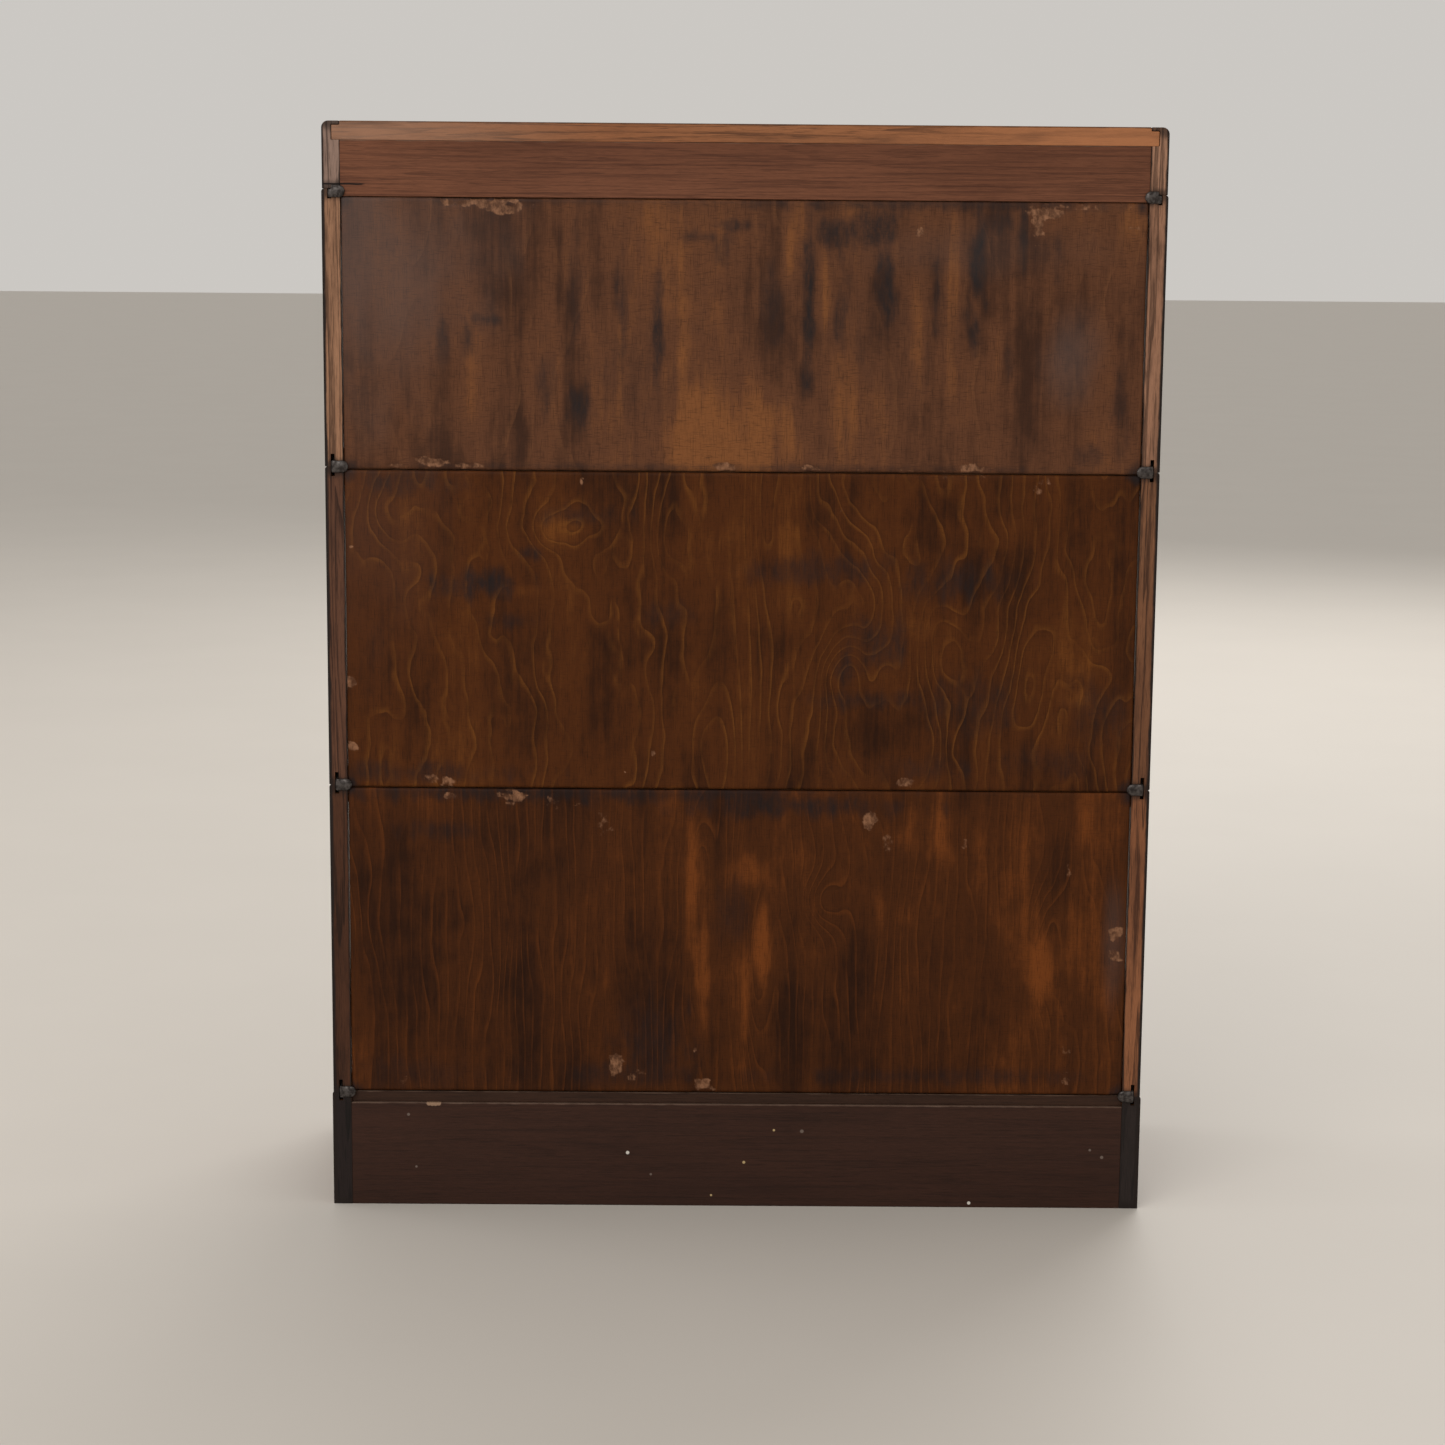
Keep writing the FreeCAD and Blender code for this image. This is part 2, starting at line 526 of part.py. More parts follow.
def joining_straps(joints):
    """A pair of straps at each joint of the stack; the top joint's are only let in below."""
    straps = []
    for joint_z in joints[:-1]:
        strap = joining_strap(joint_z, STRAP_ABOVE - STRAP_CLEARANCE, joint_z)
        straps += [strap, mirrored(strap)]
    strap = joining_strap(joints[-1], -STRAP_CLEARANCE, joints[-1] - TOP_LUG_DROP)
    straps += [strap, mirrored(strap)]
    save("joining_straps", *straps)


# ---- the whole stack --------------------------------------------------------------------------
base_unit(BASE_HEIGHT)
joints = [BASE_HEIGHT]
for section, section_height in SECTION_HEIGHTS:
    z0 = joints[-1]
    z1 = z0 + section_height
    is_lowest = section == SECTION_HEIGHTS[0][0]
    is_highest = section == SECTION_HEIGHTS[-1][0]
    panel_z0 = z0 + DECK_SHOWING if is_lowest else z0 - PANEL_LAP + PANEL_JOINT_GAP / 2
    panel_z1 = z1 - (TOP_RAIL_LIP if is_highest else PANEL_LAP) - PANEL_JOINT_GAP / 2
    section_carcase(section, z0, z1, panel_z0, panel_z1)
    steel_pins(section, z1)
    equaliser(section, z0, z1)
    door(section, z0, z1)
    slide = door_travel(z0, z1)
    turn = arm_angle(0) - arm_angle(slide)
    print(f"{section}: {z0} to {z1}, pivot z {z1 - PIVOT_DROP}, travel {slide}, arm turn {turn:.5f}")
    joints.append(z1)
top_unit(joints[-1], TOTAL_HEIGHT)
joining_straps(joints)
print(f"front {FRONT}, back {BACK}, pivot y {PIVOT_Y}, bar y {BAR_Y}, rail pin y {RAIL_PIN_Y}")
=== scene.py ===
"""Looks of a sectional oak bookcase with lifting glazed doors, laid out as an add-on.

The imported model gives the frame: every place below comes from its nodes' boxes. Seen from
behind, +X is on the left, so "across" is measured from the +X edge of a panel.
"""
import math

import bpy
import numpy as np
from bpy.props import FloatProperty, FloatVectorProperty, PointerProperty
from mathutils import Matrix, Vector


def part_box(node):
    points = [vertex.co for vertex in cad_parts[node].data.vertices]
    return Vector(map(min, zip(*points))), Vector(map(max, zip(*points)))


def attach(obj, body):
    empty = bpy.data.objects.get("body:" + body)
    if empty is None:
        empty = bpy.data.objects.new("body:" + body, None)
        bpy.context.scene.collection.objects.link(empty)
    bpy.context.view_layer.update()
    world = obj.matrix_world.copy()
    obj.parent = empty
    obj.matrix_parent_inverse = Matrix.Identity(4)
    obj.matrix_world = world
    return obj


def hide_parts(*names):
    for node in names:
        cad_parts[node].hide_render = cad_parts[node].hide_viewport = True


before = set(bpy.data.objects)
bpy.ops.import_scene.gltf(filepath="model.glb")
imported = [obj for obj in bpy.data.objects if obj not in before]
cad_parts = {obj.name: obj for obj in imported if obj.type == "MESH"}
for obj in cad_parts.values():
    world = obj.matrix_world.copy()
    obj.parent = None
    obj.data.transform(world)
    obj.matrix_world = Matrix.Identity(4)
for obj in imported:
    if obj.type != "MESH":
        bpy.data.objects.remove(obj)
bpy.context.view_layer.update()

bl_info = {
    "name": "Sectional Bookcase",
    "version": (1, 0, 0),
    "blender": (4, 5, 0),
    "location": "View3D > Sidebar > Bookcase",
    "description": "Finishes and detailed pieces for a stacking oak bookcase",
    "category": "Object",
}

SECTIONS = ("upper", "middle", "lower")
MM = 0.001


def low(node):
    """The lowest corner of a node's box."""
    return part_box(node)[0]


def high(node):
    """The highest corner of a node's box."""
    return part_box(node)[1]


BACK_Y = high("upper_end_left")[1]
OUTER_X = high("upper_end_right")[0]
INNER_X = low("upper_end_right")[0]
SECTION_TOPS = {name: high(f"{name}_end_right")[2] for name in SECTIONS}
HAIRLINE_HEIGHT = SECTION_TOPS["upper"] + 5.5 * MM
SECTION_FEET = {name: low(f"{name}_end_right")[2] for name in SECTIONS}


# ---- smooth random fields ----
def value_noise(x, y, seed):
    """Random values on a whole-number grid, eased between with 3t^2 - 2t^3, from 0 to 1."""
    column, row = np.floor(x), np.floor(y)
    across, up = x - column, y - row
    across = across * across * (3 - 2 * across)
    up = up * up * (3 - 2 * up)

    def corner(i, j):
        wave = np.sin((column + i) * 127.1 + (row + j) * 311.7 + seed * 74.7) * 43758.5453
        return wave - np.floor(wave)

    near = corner(0, 0) * (1 - across) + corner(1, 0) * across
    far = corner(0, 1) * (1 - across) + corner(1, 1) * across
    return near * (1 - up) + far * up


def layered_noise(x, y, seed, layers=4):
    """Value noise added over octaves, each twice as fine and half as strong, from 0 to 1."""
    total, weight = 0.0, 0.0
    for layer in range(layers):
        scale = 2.0 ** layer
        total = total + value_noise(x * scale, y * scale, seed + layer * 13) / scale
        weight += 1 / scale
    return total / weight


def ease(value, start, end):
    """0 before start, 1 after end, eased between."""
    t = np.clip((value - start) / (end - start), 0, 1)
    return t * t * (3 - 2 * t)


# ---- meshes ----
def add_piece(name, verts, faces, body, slot, mat, attributes=None):
    """Make a mesh piece from arrays, finish it and let it ride on its body."""
    mesh = bpy.data.meshes.new(name)
    mesh.from_pydata(np.asarray(verts).reshape(-1, 3).tolist(), [], faces)
    mesh.validate()
    for label, values in (attributes or {}).items():
        layer = mesh.attributes.new(label, "FLOAT", "POINT")
        layer.data.foreach_set("value", np.asarray(values, dtype=np.float32).ravel())
    mesh.polygons.foreach_set("use_smooth", [True] * len(mesh.polygons))
    mesh.materials.append(mat)
    piece = bpy.data.objects.new(name, mesh)
    bpy.context.scene.collection.objects.link(piece)
    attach(piece, body)
    return piece


def ring_faces(stations, points, reverse=False):
    """Quads between closed rings of points, and a flat face on each end ring.

    They face outwards where the rings run anticlockwise seen against the way the rings advance.
    """
    ring = np.arange(points)
    onward = np.roll(ring, -1)
    first = (np.arange(stations - 1) * points)[:, None]
    quads = np.stack([first + ring, first + onward, first + points + onward,
                      first + points + ring], axis=-1).reshape(-1, 4)
    caps = [ring[::-1], ring + (stations - 1) * points]
    if reverse:
        quads = quads[:, ::-1]
        caps = [cap[::-1] for cap in caps]
    return quads.tolist() + [cap.tolist() for cap in caps]


def joined(shells):
    """Several (points, faces) shells as one list of points and one of faces."""
    verts, faces, offset = [], [], 0
    for points, shell_faces in shells:
        verts.append(points.reshape(-1, 3))
        faces += [[corner + offset for corner in face] for face in shell_faces]
        offset += len(verts[-1])
    return np.concatenate(verts), faces


def turned(profile, sides):
    """A surface of revolution: each (radius, height) pair is a circle round the Z axis."""
    profile = np.asarray(profile, dtype=float)
    angle = np.linspace(0, 2 * math.pi, sides, endpoint=False)
    x = profile[:, :1] * np.cos(angle)
    y = profile[:, :1] * np.sin(angle)
    z = np.repeat(profile[:, 1:], sides, axis=1)
    return np.stack([x, y, z], axis=-1), ring_faces(len(profile), sides)


# ---- materials ----
# The colour sockets of a Mix node, by place, since its sockets share their names.
MIX_FACTOR, MIX_FIRST, MIX_SECOND, MIX_RESULT = 0, 6, 7, 2


class Finish:
    """A material with one Principled shader, and short names for the nodes that feed it."""

    def __init__(self, name):
        self.material = bpy.data.materials.new(name)
        self.material.use_nodes = True
        self.tree = self.material.node_tree
        self.shader = self.tree.nodes["Principled BSDF"]
        self.place = self.tree.nodes.new("ShaderNodeTexCoord").outputs["Object"]

    def feed(self, socket, value):
        """Set a socket to a number or colour, or link it to another node's output."""
        if isinstance(value, bpy.types.NodeSocket):
            self.tree.links.new(value, socket)
        elif hasattr(value, "__len__"):
            value = tuple(value)
            opaque = (1.0,) if socket.type == "RGBA" and len(value) == 3 else ()
            socket.default_value = value + opaque
        else:
            socket.default_value = value

    def node(self, kind, **sockets):
        """A new shader node, its sockets fed by name, with underscores for spaces."""
        node = self.tree.nodes.new("ShaderNode" + kind)
        for label, value in sockets.items():
            self.feed(node.inputs[label.replace("_", " ")], value)
        return node

    def noise(self, scale, detail=4.0, roughness=0.55, distortion=0.0, turn=(0, 0, 0),
              shift=(0, 0, 0)):
        """Noise with this many cells to the metre along each axis, turned and shifted."""
        mapping = self.node("Mapping", Vector=self.place, Location=shift, Rotation=turn, Scale=scale)
        return self.node("TexNoise", Vector=mapping.outputs["Vector"], Scale=1.0, Detail=detail,
                         Roughness=roughness, Distortion=distortion).outputs["Fac"]

    def math(self, operation, first, second=0.0, third=0.0):
        node = self.node("Math")
        node.operation = operation
        for socket, value in zip(node.inputs, (first, second, third)):
            self.feed(socket, value)
        return node.outputs[0]

    def times(self, first, second):
        """Two values multiplied together."""
        return self.math("MULTIPLY", first, second)

    def plus(self, first, second):
        return self.math("ADD", first, second)

    def minus(self, first, second):
        return self.math("SUBTRACT", first, second)

    def scaled(self, value, by, plus):
        """A value multiplied by a number, with another added."""
        return self.math("MULTIPLY_ADD", value, by, plus)

    def eased(self, value, start, end, low_value=0.0, high_value=1.0):
        """From the low value at start to the high one at end, eased between."""
        node = self.node("MapRange", Value=value, From_Min=start, From_Max=end, To_Min=low_value,
                         To_Max=high_value)
        node.interpolation_type = "SMOOTHSTEP"
        return node.outputs["Result"]

    def mix(self, factor, first, second):
        """The first colour where the factor is 0, the second where it is 1."""
        node = self.node("Mix")
        node.data_type = "RGBA"
        self.feed(node.inputs[MIX_FACTOR], factor)
        self.feed(node.inputs[MIX_FIRST], first)
        self.feed(node.inputs[MIX_SECOND], second)
        return node.outputs[MIX_RESULT]

    def attribute(self, label):
        node = self.node("Attribute")
        node.attribute_name = label
        return node.outputs["Fac"]

    def axes(self):
        return self.node("SeparateXYZ", Vector=self.place).outputs

    def bump(self, height, strength, distance):
        node = self.node("Bump", Strength=strength, Distance=distance, Height=height)
        self.feed(self.shader.inputs["Normal"], node.outputs["Normal"])

    def surface(self, **sockets):
        """Set the shader's sockets by name, with underscores for spaces."""
        for label, value in sockets.items():
            self.feed(self.shader.inputs[label.replace("_", " ")], value)
        return self.material


def stretched(along, across_scale, along_scale):
    """Scales for a pattern drawn out along one axis of the board."""
    return tuple(along_scale if axis == along else across_scale for axis in "xyz")


def oak_grain(mat, along, pale, mid, dark, turn=(0, 0, 0), shift=(0, 0, 0), bold=1.0, pores=0.6):
    """Oak: growth bands with porous dark edges, drawn out along the board, and short open pores."""
    growth = mat.noise(stretched(along, 42, 1.3), 2, 0.5, 0.4, turn=turn, shift=shift)
    bands = mat.math("FRACT", mat.times(growth, 9.0))
    early = mat.times(mat.eased(bands, 0.45, 0.95), mat.eased(bands, 1.0, 0.95))
    broad = mat.noise(stretched(along, 9, 1.3), 3, turn=turn, shift=shift)
    colour = mat.mix(mat.eased(broad, 0.3, 0.7), mid, pale)
    pore = mat.noise(stretched(along, 950, 34), 3, 0.6, turn=turn, shift=shift)
    porous = mat.scaled(early, 0.14 * bold, pore)
    open_pore = mat.eased(porous, 0.54, 0.68, 0.0, pores)
    colour = mat.mix(mat.times(early, 0.38 * bold), colour, dark)
    colour = mat.mix(open_pore, colour, tuple(c * 0.6 for c in dark))
    fine = mat.noise(stretched(along, 1900, 120), 2, turn=turn, shift=shift)
    colour = mat.mix(mat.eased(fine, 0.35, 0.65, 0.0, 0.3), colour, tuple(c * 0.55 for c in mid))
    height = mat.minus(0.0, mat.times(open_pore, 1.6))
    return colour, height


def dark_hairline(mat, colour, axes, level, from_x):
    """A wavering dark hairline at one height, from the outer +X corner inwards as far as from_x."""
    wander = mat.times(mat.noise((60, 0, 0), 2), 1.6 * MM)
    off = mat.math("ABSOLUTE", mat.minus(mat.plus(axes[2], wander), level))
    line = mat.times(mat.eased(off, 1.1 * MM, 0.5 * MM),
                       mat.eased(axes[0], from_x, from_x + 6 * MM))
    return mat.mix(line, colour, (0.008, 0.005, 0.004))


def ray_flecks(mat, along, colour, fleck):
    """Pale wavy flecks that lie across quarter-sawn oak in bunches."""
    across_grain = mat.noise(stretched(along, 60, 190), 2, 0.5, 1.2, turn=(0.3, 0.35, 0.25))
    bunches = mat.noise(stretched(along, 12, 3), 2)
    bright = mat.times(mat.eased(across_grain, 0.6, 0.68), mat.eased(bunches, 0.45, 0.6))
    return mat.mix(mat.times(bright, 0.45), colour, fleck)


def polished_oak(name, along, show, roughness=0.34):
    """The show side: evenly stained and polished oak with flecks, darker where it is handled less."""
    mat = Finish(name)
    pale, mid, dark = show
    colour, height = oak_grain(mat, along, pale, mid, dark, bold=1.0, pores=0.55)
    colour = ray_flecks(mat, along, colour, pale)
    cloud = mat.noise((14, 14, 14), 3)
    colour = mat.mix(mat.eased(cloud, 0.35, 0.75, 0.0, 0.35), colour, dark)
    mat.bump(height, 0.25, 0.4 * MM)
    rough = mat.eased(cloud, 0.3, 0.7, roughness - 0.06, roughness + 0.08)
    return mat.surface(Base_Color=colour, Roughness=rough, Specular_IOR_Level=0.18)


def end_oak(node, show, raw, turn, shift, dirt):
    """An end board: polished, with its bare back edge between near-black worn lines.

    The bare strip stops short of the outer corner by a ragged 3 mm and of the inner one by 1 mm,
    and darkens within about 12 mm of the joints above and below. The joints themselves get painted
    shadow: dark lines all round.
    """
    mat = Finish(f"{node}_oak")
    foot, head = low(node)[2], high(node)[2]
    show_colour, show_height = oak_grain(mat, "z", *show, shift=shift, bold=1.0, pores=0.55)
    show_colour = ray_flecks(mat, "z", show_colour, show[0])
    raw_colour, raw_height = oak_grain(mat, "z", *raw, turn, shift, 1.25)
    x, y, z = mat.axes()
    # Painted shadow in the joints: the show faces go near-black within 2 mm of the joint with the unit
    # above or below.
    under = 0.0 if node.startswith("top_") else 0.9
    over = 0.0 if node.startswith("base_") else 0.9
    joint_shadow = mat.math("MAXIMUM", mat.eased(z, head - 2.0 * MM, head - 0.6 * MM, 0.0, under),
                           mat.eased(z, foot + 2.0 * MM, foot + 0.6 * MM, 0.0, over))
    show_colour = mat.mix(joint_shadow, show_colour, (0.012, 0.006, 0.004))
    ragged = mat.noise((90, 90, 24), 4, 0.65, shift=shift)
    wobble = mat.scaled(ragged, 4.5 * MM, -2.2 * MM)
    side = mat.plus(mat.math("ABSOLUTE", x), wobble)
    behind = mat.eased(y, BACK_Y - 1.5 * MM, BACK_Y - 0.5 * MM)
    bare = mat.eased(side, OUTER_X - 1.8 * MM, OUTER_X - 4.0 * MM)
    bare = mat.times(bare, mat.eased(side, INNER_X - 0.2 * MM, INNER_X + 1.6 * MM))
    level = mat.plus(z, mat.scaled(ragged, 16 * MM, -8 * MM))
    by_joint = mat.eased(level, head - 3 * MM, head - 16 * MM)
    by_joint = mat.times(by_joint, mat.eased(level, foot + 1 * MM, foot + 13 * MM))
    bare = mat.times(bare, mat.eased(by_joint, 0.0, 1.0, 0.25, 1.0))
    grime = mat.noise((60, 60, 16), 5, 0.6, shift=shift)
    raw_colour = mat.mix(mat.eased(grime, 0.45, 0.75, 0.0, dirt), raw_colour, raw[2])
    colour = mat.mix(behind, show_colour, (0.017, 0.011, 0.009))
    colour = mat.mix(mat.times(bare, behind), colour, raw_colour)
    if node == "top_end_right":
        colour = dark_hairline(mat, colour, (x, y, z), HAIRLINE_HEIGHT, 0.0)
    height = mat.plus(mat.times(show_height, 0.4), raw_height)
    mat.bump(height, 0.3, 0.4 * MM)
    return mat.surface(Base_Color=colour, Roughness=mat.eased(behind, 0.0, 1.0, 0.36, 0.62),
                          Specular_IOR_Level=0.18)


def panel_ply(name, dark, mid, glow, line, line_weight, weave, sheen):
    """Stained plywood: dark to orange by its tone, with fine upright streaks and figure lines.

    Over that come blue-black marks, a painted greyish sheen and torn bare patches, each from its own
    attribute, and fine pores and cloth-like wear that catch the light.
    """
    mat = Finish(name)
    streak = mat.noise((210, 210, 7), 4, 0.62)
    mottle = mat.noise((75, 75, 40), 4, 0.6)
    tone = mat.scaled(streak, 0.55, mat.attribute("tone"))
    tone = mat.scaled(mottle, 0.55, tone)
    tone = mat.minus(tone, 0.55)
    colour = mat.mix(mat.eased(tone, 0.0, 0.55), dark, mid)
    colour = mat.mix(mat.eased(tone, 0.5, 1.1), colour, glow)
    phase = mat.math("FRACT", mat.attribute("figure"))
    crest = mat.times(mat.eased(phase, 0.7, 0.97), mat.eased(phase, 1.0, 0.97))
    patchy = mat.noise((19, 19, 10), 3)
    strength = mat.eased(patchy, 0.35, 0.65, 0.15 * line_weight, line_weight)
    strength = mat.times(strength, mat.attribute("slope"))
    crest = mat.times(crest, strength)
    colour = mat.mix(crest, colour, line)
    trough = mat.times(mat.eased(phase, 0.25, 0.02), mat.times(strength, 0.45))
    colour = mat.mix(trough, colour, tuple(c * 0.6 for c in dark))
    pores = mat.noise((1100, 1100, 60), 2)
    colour = mat.mix(mat.eased(pores, 0.5, 0.75, 0.0, 0.5), colour, tuple(c * 0.5 for c in dark))
    cloth = mat.noise((120, 120, 1300), 3, turn=(0, math.radians(6), 0))
    colour = mat.mix(mat.eased(cloth, 0.5, 0.72, 0.0, weave), colour, tuple(c * 0.7 for c in dark))
    drips = mat.noise((150, 150, 45), 5, 0.7)
    stain = mat.times(mat.attribute("stain"), mat.eased(drips, 0.25, 0.7, 0.3, 1.0))
    colour = mat.mix(stain, colour, (0.016, 0.013, 0.014))
    # Painted sheen: the colour is lifted towards a light grey where these marks lie.
    colour = mat.mix(mat.attribute("painted_sheen"), colour, (0.105, 0.085, 0.082))
    torn = mat.noise((170, 170, 120), 5, 0.6)
    ragged = mat.scaled(torn, 0.9, mat.minus(mat.attribute("scuff"), 0.45))
    torn_colour = mat.mix(mat.eased(torn, 0.36, 0.72), (0.095, 0.04, 0.02), (0.34, 0.165, 0.088))
    colour = mat.mix(mat.eased(ragged, 0.38, 0.75, 0.0, 0.85), colour, torn_colour)
    relief = mat.minus(mat.times(crest, 0.5), pores)
    relief = mat.minus(relief, mat.times(cloth, weave * 2))
    mat.bump(relief, 0.22, 0.35 * MM)
    rough = mat.eased(mottle, 0.3, 0.7, 0.42, 0.56)
    return mat.surface(Base_Color=colour, Roughness=rough, Specular_IOR_Level=sheen)


def metal(name, bright, dull, roughness, metallic, scale, relief):
    """Metal with darker dull patches in its hollows and a slightly uneven face."""
    mat = Finish(name)
    patch = mat.noise((scale, scale, scale), 5, 0.6)
    colour = mat.mix(mat.eased(patch, 0.35, 0.65), dull, bright)
    mat.bump(patch, relief, 0.5 * MM)
    rough = mat.eased(patch, 0.3, 0.7, roughness + 0.18, roughness)
    return mat.surface(Base_Color=colour, Roughness=rough, Metallic=metallic)


def clear_glass():
    """Thin old glass: mostly clear, with a faint even reflection that grows at a low angle."""
    mat = Finish("door_glass_clear")
    drawn = mat.noise((3, 3, 9), 1)
    return mat.surface(Base_Color=mat.mix(drawn, (0.2, 0.215, 0.205), (0.24, 0.25, 0.24)),
                          Roughness=0.02, Metallic=1.0, Alpha=0.1)


# ---- finishing a CAD node ----
EASED_SEGMENTS = 2
SHARP_CORNER = math.radians(40)
WELD_DISTANCE = 0.01 * MM


def dress(node, mat, edge):
    """Give a CAD node its material and, where it has sharp corners, slightly eased edges."""
    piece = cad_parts[node]
    piece.data.materials.clear()
    piece.data.materials.append(mat)
    if edge:
        weld = piece.modifiers.new("weld", "WELD")
        weld.merge_threshold = WELD_DISTANCE
        bevel = piece.modifiers.new("eased edges", "BEVEL")
        bevel.width = edge
        bevel.segments = EASED_SEGMENTS
        bevel.limit_method = "ANGLE"
        bevel.angle_limit = SHARP_CORNER


# ---- back panels ----
def marks(across, down, spots, seed, coarse, softness, drawn=1.8, raggedness=2.0):
    """Ragged marks, each (across, down, half width, half height, strength).

    A mark is an ellipse whose distance from the middle is pushed in and out by layered noise of
    the coarse size, drawn out upright, and fades over the softness. The strongest mark wins.
    """
    total = np.zeros_like(across)
    ragged = (layered_noise(across / coarse, down / (coarse * drawn), seed, 5) - 0.5) * raggedness
    for across_at, down_at, half_width, half_height, strength in spots:
        reach = np.hypot((across - across_at) / half_width, (down - down_at) / half_height)
        fade = 1 - ease(reach + ragged, 1 - softness, 1 + softness * 0.35)
        total = np.maximum(total, fade * strength)
    return total


def rings(across, down, eyes):
    """Bumps in the figure field, whose contours are closed rings round each eye."""
    total = np.zeros_like(across)
    for across_at, down_at, half_width, half_height, height in eyes:
        total += height * np.exp(-((across - across_at) / half_width) ** 2
                                 - ((down - down_at) / half_height) ** 2)
    return total


